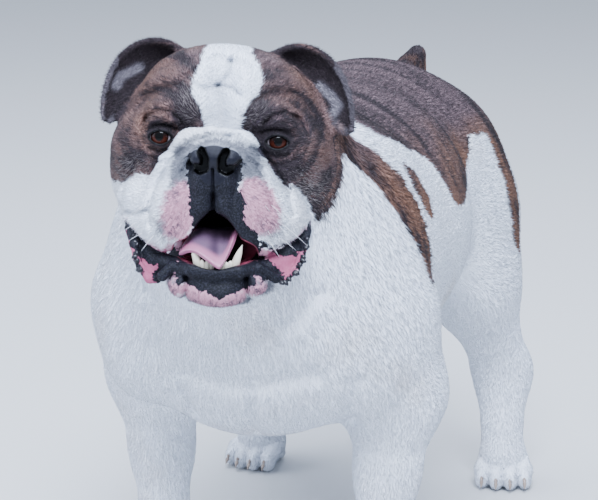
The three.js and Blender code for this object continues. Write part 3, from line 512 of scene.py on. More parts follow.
wrinkles = [
    crease([(-47, -62), (-48, -52), (-45, -37), (-37, -23), (-29, -10), (-16, 1),
            (-1, 6), (17, 5), (31, -5), (43, -19), (55, -37), (60, -52)], 3.2, 2.6),  # behind the roll
    crease([(-19, -15), (-17, -5), (-9, 2), (0, 4),
            (10, 4), (18, -1), (23, -8), (32, -16)], 1.8, 2.0),  # over the nose
    crease([(-19, -15), (-27, -25), (-33, -38), (-35, -48)], 2.0, 2.4),
    crease([(32, -16), (38, -26), (43, -38), (45, -48)], 2.0, 2.4),
    crease([(-24, -22), (-27, -32), (-28, -42)], 1.2, 1.8),
    crease([(-0.5, -18), (0, -30), (0.3, -52)], 2.6, 0.9),  # groove of the lip
    crease([(-73, -57), (-62, -57), (-51, -53)], 3.6, 2.4),  # under the right cheek
    crease([(-66, -40), (-54, -44), (-47, -40)], -1.6, 6.0),
    crease([(-3, 40), (5, 49), (6, 60)], 2.8, 2.0),  # the star where the forehead folds meet
    crease([(-3, 40), (-12, 38), (-20, 41)], 1.8, 2.0),
    crease([(-3, 40), (8, 39), (16, 34)], 2.2, 2.0),
    crease([(-3, 40), (0, 28), (2, 12)], 2.0, 4.0),
    crease([(5, 58), (-4, 62), (-10, 60)], 2.0, 2.2),
    crease([(5, 58), (14, 60), (22, 56)], 1.6, 2.4),
    crease([(-60, 8), (-55, 16), (-46, 21), (-36, 20), (-28, 12)], 2.6, 2.0),  # over the right eye
    crease([(-68, 16), (-60, 28), (-47, 36), (-32, 40), (-20, 52)], 2.2, 3.0),
    crease([(-76, 18), (-68, 36), (-52, 50), (-32, 58)], 2.2, 3.0),
    crease([(34, 14), (40, 20), (50, 23), (60, 17), (68, 6)], 2.8, 2.0),  # over the left eye
    crease([(26, 30), (40, 38), (56, 36), (70, 22), (78, 4)], 2.2, 3.0),
    crease([(34, 56), (52, 52), (70, 38), (84, 14)], 2.2, 3.0),
    crease([(-18, -101), (-18, -112), (-20, -122)], 3.2, 1.8),  # between the chin's lobes
    crease([(27.5, -100), (28, -111), (29, -120)], 3.2, 1.8),
] + both(lambda s: [
    crease([(s * 33, 6.5), (s * 40, 10), (s * 48, 9.5), (s * 56, 4)], 1.6, 1.5),  # upper lid
    crease([(s * 35, -8), (s * 44, -11), (s * 54, -9)], 1.6, 1.8),  # lower lid
    crease([(s * 37, -15), (s * 47, -18), (s * 58, -13)], 1.6, 2.2),
    crease([(s * 62, -20), (s * 70, -36), (s * 72, -52)], 2.0, 3.4),
])

ears = {s: Ear(s) for s in (1, -1)}
ear_forms = [Form((s * 78, 46, 34), 52, ears[s].distance, 8) for s in (1, -1)]
face_forms = skull + [group(muzzle, 5)] + nose_forms + [group(jaw, 3), mass([0, 54, -84], [54, 40, 38], 26)]
face_field = field_of(face_forms + wrinkles + [nostril(1), nostril(-1)] + ear_forms)
mouth_field = field_of(mouth_forms)

# The almond's width, and how far each lid rises from its middle.
LID_WIDTH, UPPER_LID, LOWER_LID = 16.5, 4.3, 4.7


def almond_gap(s, p):
    """How far points are, as seen from the front, outside the almond where two round lids part."""

    def circle(rise, sign):
        half = LID_WIDTH / 2
        radius = (half * half + rise * rise) / (2 * rise)
        return np.sqrt((p[0] - s * (EYE_X + 0.3)) ** 2 + (p[2] - sign * (rise - radius)) ** 2) - radius

    return np.maximum(circle(UPPER_LID, 1), circle(LOWER_LID, -1))


def lid_opening(s):
    """The opening between the lids, through to the eyeball, and the hollow that the eyeball fills."""

    def distance(p):
        almond = np.maximum(almond_gap(s, p), p[1] - EYE_Y)
        ball = np.sqrt((p[0] - s * EYE_X) ** 2 + (p[1] - EYE_Y) ** 2 + p[2] ** 2) - EYE_RADIUS - 0.2
        return np.minimum(almond, ball)

    return Form((s * EYE_X, EYE_Y - 12, 0), 30, distance, 1.5, "cut")


openings = [lid_opening(s) for s in (1, -1)]


HEAD_CENTRE = np.array(HEAD_AT, dtype=np.float32).reshape(3, 1)
HEAD_REACH, NECK_MELT = 175, 30  # how far the head can be felt, and how wide it melts into the neck
COAT = 1.2  # the skin lies this deep under the tips of the coat


def to_head(points):
    """Points in the dog's frame, told in the head's."""
    return HEAD_TURN.T.astype(np.float32) @ (points - HEAD_CENTRE)


def from_head(points):
    """The other way."""
    return HEAD_TURN.astype(np.float32) @ points + HEAD_CENTRE


def dog_field(points):
    """The whole dog's skin: head melted into body, then the mouth and the lids' openings hollowed out."""
    d = body_field(points)
    local = to_head(points)
    away = np.sqrt(((points - HEAD_CENTRE) ** 2).sum(axis=0)) - HEAD_REACH
    near = away < d + NECK_MELT
    if near.any():
        q = local[:, near]
        whole = melt(face_field(q), d[near], NECK_MELT)
        whole = -melt(-whole, mouth_field(q), 3) + COAT
        lo, hi = q.min(axis=1, keepdims=True), q.max(axis=1, keepdims=True)
        for opening in openings:
            opening.join(whole, q, lo, hi)
        d[near] = whole - COAT
    return d + COAT


print("between the eyes the skin lies at", round(float(dog_field(HEAD_CENTRE)[0]), 1), "mm")

# %% [markdown]
# ## From field to skin
#
# The skin is where the field is zero. A grid of samples is laid round the dog and OpenVDB stretches a net
# of quads over it. The grid is finest at the face: its cells grow with the distance from the muzzle, so
# the small forms of the lips and lids get many faces and the flanks few. The points are then moved along
# the field's slope onto the true surface, and the net is thinned to a size that an exporter can carry.

# %% Skin
FACE_AT = np.array([[-3.0], [-285.0], [380.0]], dtype=np.float32)
FINE, COARSE = 1.3, 4.2  # size of a cell at the face and at the far end of the body, in mm
FINE_REACH, COARSE_REACH = 95.0, 520.0

reach_mm = np.linspace(0, 900, 1801)
cell_at = np.interp(reach_mm, [FINE_REACH, COARSE_REACH], [FINE, COARSE])
reach_cells = np.concatenate([[0], np.cumsum(0.5 / ((cell_at[1:] + cell_at[:-1]) / 2))])


def spread(cells):
    """Places in mm of points that are given in cells from the muzzle."""
    far = np.sqrt((cells ** 2).sum(axis=0))
    wider = np.interp(far, reach_cells, reach_mm) / np.maximum(far, 1e-6)
    return FACE_AT + cells * wider.astype(np.float32)


def gather(points):
    """The other way: from mm to cells."""
    p = points - FACE_AT
    far = np.sqrt((p ** 2).sum(axis=0))
    return p * (np.interp(far, reach_mm, reach_cells) / np.maximum(far, 1e-6)).astype(np.float32)


def slope_of(field, points, step=0.3):
    """Value and gradient of a field, from four samples at the corners of a small tetrahedron."""
    corners = np.array([[1, 1, 1], [1, -1, -1], [-1, 1, -1], [-1, -1, 1]], dtype=np.float32)
    slope = np.zeros_like(points)
    value = np.zeros(points.shape[1], dtype=np.float32)
    for c in corners:
        d = everywhere(field, points + step * c.reshape(3, 1))
        slope += d * c.reshape(3, 1)
        value += d
    return value / 4, slope / (4 * step)


def settle(field, points, most=1.5, passes=2):
    """Points moved onto the surface of a field, by no more than a little at a time."""
    for _ in range(passes):
        value, slope = slope_of(field, points)
        steep = np.maximum((slope ** 2).sum(axis=0), 0.1)
        points = points - slope * np.clip(value / steep, -most, most)
    return points


def cell_size(cells):
    """How large a cell is, in mm, at places given in cells from the muzzle."""
    return np.interp(np.interp(np.sqrt((cells ** 2).sum(axis=0)), reach_cells, reach_mm), reach_mm, cell_at)


OUTSIDE = 50.0  # the value of a sample that is nowhere near the surface


def widened(samples, block):
    """Each sample repeated over a block of cells."""
    return np.repeat(np.repeat(np.repeat(samples, block, 0), block, 1), block, 2)


def net_over(field, lo, hi, place, size_at, block=4):
    """Quads over the surface of a field, by a grid of cells that place puts in the field's space."""
    size = [int(math.ceil((b - a) / block)) * block + 1 for a, b in zip(lo, hi)]
    lo = np.array(lo, dtype=np.float32)
    rough = [np.arange(0, n, block, dtype=np.float32) for n in size]
    gx, gy, gz = np.meshgrid(*rough, indexing="ij")
    corners = np.stack([gx.ravel(), gy.ravel(), gz.ravel()]) + lo.reshape(3, 1)
    coarse = everywhere(field, place(corners)).reshape(gx.shape)
    # A block is worth sampling where the surface could pass through it or its neighbours.
    close = np.abs(coarse) < (block * 0.87 + 1) * 1.35 * size_at(corners).reshape(gx.shape)
    values = np.sign(widened(coarse, block)[:size[0], :size[1], :size[2]]) * OUTSIDE
    near = np.roll(widened(close, block), (-(block // 2),) * 3, (0, 1, 2))[:size[0], :size[1], :size[2]]
    index = np.argwhere(near).T.astype(np.float32)
    values[near] = everywhere(field, place(index + lo.reshape(3, 1)))
    grid = openvdb.FloatGrid(background=OUTSIDE)
    grid.copyFromArray(values.astype(np.float32))
    points, quads = grid.convertToQuads(isovalue=0.0)
    return place(points.T.astype(np.float32) + lo.reshape(3, 1)), quads


def mesh_from(name, points, faces):
    """An object of points that are given in mm in the dog's frame, and moved to the scene's, in metres."""
    places = (points.T + np.array(MIDDLE)) / 1000
    mesh = bpy.data.meshes.new(name)
    mesh.from_pydata(places.tolist(), [], faces.tolist() if hasattr(faces, "tolist") else faces)
    mesh.update()
    piece = bpy.data.objects.new(name, mesh)
    bpy.context.scene.collection.objects.link(piece)
    return piece


def points_of(piece):
    """The other way: a mesh's points in mm in the dog's frame."""
    places = np.empty(len(piece.data.vertices) * 3, dtype=np.float32)
    piece.data.vertices.foreach_get("co", places)
    return (places.reshape(-1, 3) * 1000 - np.array(MIDDLE, dtype=np.float32)).T


SKIN_TRIANGLES = 190000


def largest_shell(piece):
    """Keeps the biggest closed surface of a mesh and drops loose scraps."""
    bm = bmesh.new()
    bm.from_mesh(piece.data)
    bm.verts.ensure_lookup_table()
    shell = np.full(len(bm.verts), -1)
    sizes = []
    for start in bm.verts:
        if shell[start.index] >= 0:
            continue
        found = [start]
        shell[start.index] = len(sizes)
        for v in found:
            for edge in v.link_edges:
                other = edge.other_vert(v)
                if shell[other.index] < 0:
                    shell[other.index] = len(sizes)
                    found.append(other)
        sizes.append(len(found))
    most = int(np.argmax(sizes))
    bmesh.ops.delete(bm, geom=[v for v in bm.verts if shell[v.index] != most], context="VERTS")
    bm.to_mesh(piece.data)
    bm.free()
    return sizes


def applied(piece):
    """The modifiers of a piece made into plain mesh, and removed."""
    bpy.context.view_layer.update()
    done = bpy.data.meshes.new_from_object(piece.evaluated_get(bpy.context.evaluated_depsgraph_get()))
    piece.modifiers.clear()
    old, piece.data = piece.data, done
    bpy.data.meshes.remove(old)
    return piece


def thinned(piece, triangles):
    """Fewer triangles, where the shape loses least."""
    thin = piece.modifiers.new("thin", "DECIMATE")
    faces = sum(len(p.vertices) - 2 for p in piece.data.polygons)
    thin.ratio = min(1.0, triangles / faces)
    thin.use_collapse_triangulate = True
    return applied(piece)


def outward(piece):
    """Turns every face of a closed mesh to look out."""
    bm = bmesh.new()
    bm.from_mesh(piece.data)
    bmesh.ops.recalc_face_normals(bm, faces=bm.faces)
    bm.to_mesh(piece.data)
    bm.free()


def resettled(piece, field):
    """Every point of a mesh moved onto the surface of a field."""
    places = ((settle(field, points_of(piece)).T + np.array(MIDDLE)) / 1000).astype(np.float32)
    piece.data.vertices.foreach_set("co", places.ravel())
    piece.data.update()


corners = [(x, y, z) for x in (-170, 170) for y in (-345, 300) for z in (-5, 490)]  # a box round the dog
ends = gather(np.array(corners, dtype=np.float32).T)
clock = time.time()
low, high = np.floor(ends.min(axis=1)) - 3, np.ceil(ends.max(axis=1)) + 3
points, quads = net_over(dog_field, low, high, spread, cell_size)
skin = mesh_from("skin", points, quads)
print(len(quads), "quads in", round(time.time() - clock, 1), "s, shells of", sorted(largest_shell(skin))[-3:])
thinned(skin, SKIN_TRIANGLES)
resettled(skin, dog_field)
skin.data.shade_smooth()
print(len(skin.data.polygons), "faces of skin after", round(time.time() - clock, 1), "s")

# %% [markdown]
# ## Markings
#
# A brindle and white dog: brown hair with dark stripes over the sides of the face, the ears and the back,
# white elsewhere. Where one colour ends could be painted on an image. Here each patch is a form of its
# own, and a point of the skin stores how many millimetres it lies inside a patch. The coat's material
# turns that depth into a ragged edge of hairs, and every tuft reads the depth at its own root, so skin
# and coat always agree.
# Painted shade for the creases of the face, the hollows beside the roll and the nostrils is stored on the
# skin's points in the same way.

# %% Markings
def inside(forms, points):
    """How deep points lie inside forms, in mm."""
    return -everywhere(field_of(forms), points)


skull_field = field_of(skull + ear_forms)
pale_field = field_of([group(muzzle, 5)] + nose_forms + [group(jaw, 3)])
BLAZE = (  # the white of the forehead: height, middle and half width
    (-10, 2, 9), (5, 3, 13), (12, 3, 14), (20, 2.5, 15), (30, 2, 21),
    (40, 4, 26), (52, 6, 24), (66, 3, 18), (80, 1, 12), (96, 0, 3),
)
SADDLE = (  # the lower edge of the brown back on the left: y and z
    (-150, 440), (-124, 395), (-85, 380), (-40, 366), (-24, 356), (-16, 332), (-6, 316), (15, 310), (40, 311),
    (66, 318), (95, 329), (112, 340), (122, 351), (155, 349), (180, 330), (200, 326), (240, 330),
)
SADDLE_RIGHT = (
    (-150, 430), (-110, 400), (-60, 330), (-20, 300), (20, 330), (90, 350), (150, 300), (190, 290),
    (240, 330),
)
stripe = chain([
    [50, -172, 438, 20],
    [78, -181, 408, 17],
    [93, -167, 386, 13],
    [113, -154, 360, 15],
    [126, -144, 335, 16],
    [136, -133, 304, 12],
    [140, -142, 280, 3],
], 4)
patches = chain([
    [112, -124, 370, 5],
    [121, -117, 357, 10],
    [128, -108, 339, 10],
    [131, -103, 328, 4],
], 4) + chain([
    [100, 176, 352, 22],
    [122, 172, 320, 17],
    [134, 167, 284, 14],
    [140, 168, 252, 11],
    [139, 170, 236, 4],
], 4) + tail


def brindle_depth(points):
    """How deep points of the skin lie inside the brown parts, in mm. Outside them it is less than nothing."""
    x, y, z = points
    saddle = np.where(x > 0, z - np.interp(y, *zip(*SADDLE)), z - np.interp(y, *zip(*SADDLE_RIGHT)))
    waves = 7 * np.sin(x / 17) + 5 * np.sin(x / 7.3 + y / 31)
    saddle = saddle + np.where((np.abs(x) < 70) | (x < 0), waves, 0)
    saddle = np.minimum(saddle, y + 140) * 0.8
    body = np.maximum(saddle, inside(stripe + patches, points))
    q = to_head(points)
    lower = np.interp(q[0], [-80, -40, 40, 80], [-38, -36, -60, -72])
    skull_near = everywhere(skull_field, q)
    others = np.minimum(everywhere(pale_field, q), everywhere(body_field, points) + 6)
    head = np.minimum((others - skull_near) * 0.6, q[2] - lower)
    levels, middles, halves = zip(*BLAZE)
    blaze = np.interp(q[2], levels, halves) - np.abs(q[0] - np.interp(q[2], levels, middles))
    return np.maximum(body, np.minimum(head, -blaze))


def store(piece, name, values):
    """Numbers or vectors on the points of a mesh."""
    flat = np.asarray(values, dtype=np.float32)
    kind = "FLOAT" if flat.ndim == 1 else "FLOAT_VECTOR"
    layer = piece.data.attributes.new(name, kind, "POINT")
    layer.data.foreach_set("value" if flat.ndim == 1 else "vector", flat.ravel())


def blend_by(share, a, b):
    """From a to b by a share."""
    return a * (1 - share) + b * share


def band(rows, height):
    """A place across the face at some heights, from rows of height and place."""
    return np.interp(height, *zip(*rows))


# Edges of the black between the nose and the mouth, by z and x.
BLACK_RIGHT = ((-80, -25), (-73, -20), (-66, -15), (-58, -15), (-48, -17), (-35, -19), (-16, -21), (2, -12))
BLACK_LEFT = ((-78, 37), (-71, 38), (-65, 35), (-60, 28), (-56, 24),
              (-50, 25), (-42, 24), (-35, 20), (-16, 22), (2, 12))
# Lines across the lower lip, by x and z: the lower end of its bare skin, the gum's start, and loose edges.
LIP_LINE = ((-68, -70), (-62, -84), (-59, -92), (-54, -100), (-48, -109), (-38, -110), (-31, -103),
            (-20, -105), (-8, -107), (0, -110), (8, -115), (15, -110), (27, -107), (36, -102),
            (42, -101), (52, -106), (60, -102), (68, -92), (73, -76))
GUM_LINE = ((-66, -64), (-52, -76), (-38, -82), (-24, -74), (24, -70),
            (34, -74), (43, -78), (55, -78), (74, -58))
LOOSE_LIPS = (((-61, -70), (-58.5, -80), (-58, -89), (-55, -96), (-52, -100)),
              ((72, -68), (71, -78), (69, -87), (65, -95), (58, -102), (50, -104)))


def face_marks(points):
    """Depths in mm of the black, the pink and the hairless skin of the lips."""
    x, y, z = points
    upper = np.minimum(x - band(BLACK_RIGHT, z), band(BLACK_LEFT, z) - x)
    upper = np.minimum(upper, np.minimum(-8 - y, np.minimum(z + 82, -9 - z)))
    bare = np.minimum(z - np.interp(x, *zip(*LIP_LINE)), np.interp(x, *zip(*GUM_LINE)) - z)
    lower = np.maximum.reduce([
        30 - np.abs(x - 4.5),
        6.5 - off_line([(-30, -92), (-37, -103)], points),
        6.5 - off_line([(38, -91), (49, -100)], points),
        6.0 - off_line([(-64, -64), (-57, -78), (-49, -86), (-36, -90)], points),
        4.2 - off_line([(76, -60), (70, -72), (62, -79), (50, -80)], points),
        2.0 - np.minimum(*(off_line(line, points) for line in LOOSE_LIPS)),
    ])
    flew_edge = inside(chain([
        [-22, -42, -80, 3],
        [-38, -44, -87, 3],
        [-54, -36, -77, 3],
    ], 3) + chain([
        [36, -50, -73, 4],
        [48, -42, -79, 3],
        [62, -26, -76, 4],
        [72, -8, -64, 5],
    ], 3), points)
    lower = np.minimum(np.minimum(bare + 1, lower), 4 - y)
    black = np.maximum(np.maximum(upper, flew_edge), lower)
    pads = inside([
        mass([-23, -52, -50], [15, 16, 26], 4, (0, 6, 0)),
        mass([34, -48, -44], [18, 18, 23], 4, (0, -22, 0)),
        mass([26, -52, -58], [12, 14, 14], 4),
        mass([JAW_X + 2, -50, -114], [27, 24, 11], 4),
        mass([-14, -50, -108], [9, 20, 8], 3),
        mass([25, -50, -106], [9, 20, 8], 3),
        mass([-26, -46, -110], [9, 20, 7], 3),
        mass([37, -44, -108], [9, 20, 7], 3),
    ], points)
    bare = np.minimum(bare, 4 - y)
    return black, np.maximum(pads, bare + 1), bare


DARK_BRINDLE_AND_SHADE = (  # the darkest brindle round the eyes, and painted shade under the brows and beside the roll: x, z, radius and strength
    (-44, 2, 15, 0.8), (45, 3, 15, 0.8), (-22, 26, 14, 0.8), (27, 24, 13, 0.7), (-30, 12, 11, 0.8),
    (31, 10, 11, 0.8), (52, -22, 11, 0.8), (62, -38, 11, 0.8), (74, -52, 12, 0.7), (82, -62, 10, 0.7),
    (-70, -22, 9, 0.7), (-40, -16, 12, 0.7), (84, -30, 8, 0.7), (-58, -14, 8, 0.5), (0, 74, 20, 0.2),
)
points = points_of(skin)
local = to_head(points)
count = points.shape[1]
front = np.clip((40 - local[1]) / 30, 0, 1)


def spot(x, z, across, up, strength=1.0):
    """A soft spot on the head, that fades over a width and a height."""
    return strength * np.exp(-(((local[0] - x) / across) ** 2 + ((local[2] - z) / up) ** 2))


def streak(stops, width, strength=1.0):
    """A soft line on the head."""
    return strength * np.exp(-((off_line(stops, local) / width) ** 2))


black, pink, lips_bare = face_marks(local)
brown = brindle_depth(points)
# The darkest brindle round the eyes and brows, with painted shade under the brows and in the hollows between
# the roll and the cheeks.
dusk = front * np.maximum.reduce([spot(x, z, radius, radius, strength) for x, z, radius, strength in DARK_BRINDLE_AND_SHADE])
nose_depth = inside([mass([0, -50, -12], [22.5, 18, 13]), mass([0, -52, -22], [9, 12, 9], 4)], local)
nose_depth = np.where(local[2] > -7, np.minimum(nose_depth, -47.5 - local[1]), nose_depth)
grey = front * np.maximum.reduce([
    np.exp(-((np.minimum(nose_depth, 0) / 8.0) ** 2)),  # round the nose
    streak([(-23, -8), (-25, -26)], 8, 0.95),
    streak([(26, -8), (29, -20)], 8, 0.95),
    spot(-31, -62, 12.6, 11.4, 0.75),  # specks on the flews
    spot(42, -60, 12.6, 11.0, 0.62),
    streak([(-24, -16), (-29, -30), (-27, -42)], 5, 0.6),
    streak([(26, -14), (33, -24), (38, -34)], 4, 0.5),
    streak([(-20, -119), (4, -122), (26, -119)], 5, 0.8),  # under the chin
    streak([(-27, -99), (-31, -112)], 7, 0.9),
    streak([(34, -99), (40, -109)], 7, 0.9),
])
rim = np.full(count, 50.0, dtype=np.float32)
for s in (1, -1):
    near = (np.abs(local[0] - s * EYE_X) < 40) & (np.abs(local[2]) < 30) & (local[1] < 25)
    rim[near] = np.minimum(rim[near], almond_gap(s, local[:, near]))
ear_inside = np.zeros(count, dtype=np.float32)
ear_edge = np.zeros(count, dtype=np.float32)
LOCKS = {  # a pale lock in the hollow of each ear
    1: [(73, 40), (82, 34), (88, 27), (84, 20)],
    -1: [(-85, 35), (-82, 42), (-76, 45), (-69, 49)],
}
for s, line in LOCKS.items():
    near = (np.abs(local[0] - s * 76) < 42) & (np.abs(local[2] - 34) < 42) & (local[1] > 8) & (local[1] < 100)
    far, along, across, ahead = ears[s].spots(local[:, near])
    on_ear = (far < 4.5) & (along > 0.06)
    ear_inside[near] = np.where(on_ear, ahead * np.clip((1 - np.abs(across)) * 6, 0, 1), 0)
    outer = np.abs(local[0][near]) > 84
    ear_edge[near] = np.where(on_ear & outer, np.clip(np.abs(across) * 14 - 12.9, 0, 0.4), 0)
    lock = 0.75 * np.exp(-((np.maximum(off_line(line, local[:, near]) - 1.5, 0) / 2.2) ** 2))
    ear_edge[near] = np.where(on_ear & (ahead > 0), np.maximum(ear_edge[near], lock), ear_edge[near])
    brown[near] = np.where(on_ear, np.maximum(brown[near], 6), brown[near])
# Painted shade in the creases of the face, strongest where a crease is deepest, with a little of the darker
# skin where the hair parts.
fold = np.zeros(count, dtype=np.float32)
for stops, depth, width in (form.line for form in wrinkles):
    if depth > 0:
        fold += front * streak(stops, width * 0.75, 0.22 * depth)
eye_near = np.minimum(np.hypot(local[0] - 44, local[2] - 4), np.hypot(local[0] + 44, local[2] - 4))
head_share = np.clip((everywhere(body_field, points) - everywhere(face_field, local)) / 16 + 0.5, 0, 1)
flat = np.empty(count * 3, dtype=np.float32)
skin.data.vertex_normals.foreach_get("vector", flat)
normals = flat.reshape(-1, 3).T
side_of_mouth = np.clip((np.abs(local[0] - 3) - 15) / 8, 0, 1)
marks = {
    "brown": brown,
    "black": black,
    "pink": pink,
    # Dark brindle, with painted shade under the brows and beside the roll.
    "dusk": dusk,
    "grey": grey,
    "rim": rim,
    # Painted shade in the creases.
    "fold": np.minimum(fold, 1),
    "mouth": 2.2 - everywhere(mouth_field, local),
    "red": side_of_mouth * np.clip((-66 - local[2]) / 6, 0, 1),
    "wet": np.clip((lips_bare + 1) / 3, 0, 1) * (np.abs(local[0] - 4) > 38),
    "leather": nose_depth,
    # Painted shade inside the nostrils, by how deep a point lies in them.
    "deep": 2.4 - np.minimum(nostril(1).distance(local), nostril(-1).distance(local)),
    "ear_inside": ear_inside,
    "ear_edge": ear_edge,
    # The stripes run round the eyes and, on the body, round the trunk.
    "ripple": blend_by(head_share, (points[1] + 0.15 * points[2]) * 0.65, eye_near),
    "warmth": blend_by(head_share, np.clip(1.15 - normals[2], 0, 1), 0.5),
    "grizzle": head_share * np.maximum.reduce([
        spot(-66, -30, 17.3, 16.1),
        spot(70, -36, 16.1, 22.4),
        spot(-22, 30, 11.0, 22.4, 0.8),
        spot(26, 26, 11.0, 20.0, 0.6),
    ]),
}
for name, values in marks.items():
    store(skin, name, values)
print("brown covers", round(float((brown > 0).mean()) * 100), "% of the skin's points")

# %% [markdown]
# ## The lie of the coat
#
# A bulldog's hair is short, straight and flat. It grows away from the nose over the head, backwards along
# the body and down the legs. A comb could draw this by hand. Here each point of the skin gets a direction
# from where it is, pressed flat on the skin, with the length of the hair and how close the tufts stand.
# Bare skin gets none.

# %% Lie of the coat
# Length of the hair in mm. Each blade is as wide as a fixed width and a share of its length.
HAIR = {"body": 6.8, "chest": 7.6, "leg": 6.0, "foot": 4.2, "tail": 4.0, "head": 4.0, "face": 2.4, "ear": 3.0}
BLADE, BLADE_SHARE = 0.32, 0.07
LAYERS = 2  # how often the blades cover the skin
FOOT_TOP = 60

x, y, z = points
ones = np.ones_like(x)
on_leg = np.clip((215 - z) / 50, 0, 1)
on_chest = np.clip((-130 - y) / 50, 0, 1) * (1 - on_leg)
on_tail = np.clip(1 - everywhere(field_of(tail), points) / 8, 0, 1) * (y > HIP_Y + 70)
on_ears = np.maximum(ear_inside, ear_edge)


def column(*values):
    return np.array(values, dtype=np.float32).reshape(3, 1)


def size_of(vectors):
    return np.sqrt((vectors ** 2).sum(axis=0))


lie = blend_by(on_chest, column(0, 1, -0.3), np.stack([0.004 * x, 0.25 * ones, -ones]))
lie = blend_by(on_leg, lie, column(0, 0.3, -1))
lie = blend_by(on_tail, lie, column(0.2, 0.3, 1))
away = local - column(0, -52, -8)
away = away / np.maximum(size_of(away), 1) + column(0, 0.7, 0)
away = blend_by(on_ears, away, np.stack([np.sign(local[0]) * 0.8, -0.3 * ones, -0.6 * ones]))
lie = blend_by(head_share, lie, HEAD_TURN.astype(np.float32) @ away)
lie = lie - normals * (lie * normals).sum(axis=0)
lie = lie / np.maximum(size_of(lie), 1e-3)
face_near = np.clip((70 - size_of(local - column(0, -30, -40))) / 40, 0, 1)
long = blend_by(on_leg, blend_by(on_chest, HAIR["body"], HAIR["chest"]), HAIR["leg"])
long = np.where(z < FOOT_TOP, HAIR["foot"], long)
long = np.where(on_tail > 0.3, HAIR["tail"], long)
long = blend_by(head_share, long, blend_by(face_near, HAIR["head"], HAIR["face"]))
long = np.where(on_ears > 0, HAIR["ear"], long)
wide = BLADE + BLADE_SHARE * long
mouth_gap = everywhere(mouth_field, local)
bare = (black > 0.8) | (nose_depth > -1.5) | (rim < 2.2) | (mouth_gap < 4) | (z < 4) | (lips_bare > -2)
cover = np.where(bare, 0, np.where(pink > 0, 0.5, 1.0)) * blend_by(head_share, 0.95, 0.9)
close = cover * LAYERS / (long * wide) * 1e6  # tufts on a square metre
for name, values in (("lie", lie.T), ("long", long / 1000), ("wide", wide / 1000), ("close", close)):
    store(skin, name, values)
print("hair from", round(float(long.min()), 1), "to", round(float(long.max()), 1), "mm long")

# %% [markdown]
# ## A map of the skin
#
# The coat's colours can be painted on an image, and each tuft needs its place there. The skin is laid
# out flat: faces that look the same of six ways and touch form a sheet, and the sheets are packed in rows
# at one scale.

# %% Map of the skin
def smooth_normals(spots, corners, passes=6):
    """Face normals, averaged over the neighbours, so that small folds don't part a sheet."""
    a, b, c = (spots[corners[:, i]] for i in range(3))
    normal = np.cross(b - a, c - a)
    for _ in range(passes):
        total = np.zeros_like(spots)
        for i in range(3):
            np.add.at(total, corners[:, i], normal)
        normal = total[corners].sum(axis=1)
        normal /= np.maximum(np.linalg.norm(normal, axis=1, keepdims=True), TINY)
    return normal


def sheets_of(corners, way):
    """A number for each face, the same for faces that touch and look the same way."""
    count = len(corners)
    ends = np.sort(np.concatenate([corners[:, [0, 1]], corners[:, [1, 2]], corners[:, [2, 0]]]), axis=1)
    face_of = np.tile(np.arange(count), 3)[np.lexsort((ends[:, 1], ends[:, 0]))]
    one, other = face_of[0::2], face_of[1::2]
    same = way[one] == way[other]
    one, other = one[same], other[same]
    sheet = np.arange(count)
    # Neighbours take the lower of their numbers, until nothing changes.
    while True:
        least = np.minimum(sheet[one], sheet[other])
        new = sheet.copy()
        np.minimum.at(new, one, least)
        np.minimum.at(new, other, least)
        new = new[new]
        if (new == sheet).all():
            return np.unique(sheet, return_inverse=True)[1]
        sheet = new


def packed(size):
    """Places for sheets in rows, tallest first, and the width of a square that holds them."""
    place = np.zeros_like(size)
    row = math.sqrt(float((size[:, 0] * size[:, 1]).sum()) * 1.12)
    across = up = tall = 0.0
    for i in np.argsort(-size[:, 1]):
        if across + size[i, 0] > row and across > 0:
            across, up, tall = 0.0, up + tall, 0.0
        place[i] = (across, up)
        across += size[i, 0]
        tall = max(tall, size[i, 1])
    return place, max(row, up + tall, float((place + size).max()))


def flat_map(piece, name, room=0.004):
    """Lays a closed mesh out flat, by the way its faces look, as a UV map."""
    mesh = piece.data
    corners = np.empty(len(mesh.polygons) * 3, dtype=np.int64)
    mesh.loops.foreach_get("vertex_index", corners)
    corners = corners.reshape(-1, 3)
    spots = np.empty(len(mesh.vertices) * 3, dtype=np.float32)
    mesh.vertices.foreach_get("co", spots)
    spots = spots.reshape(-1, 3)
    normal = smooth_normals(spots, corners)
    faces = np.arange(len(corners))
    look = np.abs(normal).argmax(axis=1)
    sheet = sheets_of(corners, look * 2 + (normal[faces, look] > 0))
    across, up = np.array([1, 0, 0])[look], np.array([2, 2, 1])[look]
    ends = [spots[corners[:, i]] for i in range(3)]
    uv = np.stack([np.stack([p[faces, across], p[faces, up]], axis=1) for p in ends], axis=1)
    lo = np.full((sheet.max() + 1, 2), FAR)
    hi = -lo
    for i in range(3):
        np.minimum.at(lo, sheet, uv[:, i])
        np.maximum.at(hi, sheet, uv[:, i])
    place, whole = packed(hi - lo + room)
    uv = (uv - lo[sheet][:, None] + place[sheet][:, None] + room / 2) / whole
    layer = mesh.uv_layers.new(name=name)
    layer.data.foreach_set("uv", uv.astype(np.float32).ravel())
    return len(lo), whole


sheets, across_map = flat_map(skin, "OFBake")
print(sheets, "sheets, and the map is", round(across_map, 2), "m across")

# %% [markdown]
# ## Eyes
#
# An eye is a ball with a clear bulge in front. It could be two balls, one of glass. Here it is one closed
# ball with the bulge in its profile, and its points store how many degrees they lie from the line of
# sight, so the material can draw pupil, iris and white as rings, under a coat that shines.

# %% Eyes
EYE_RINGS, EYE_SIDES = 40, 48


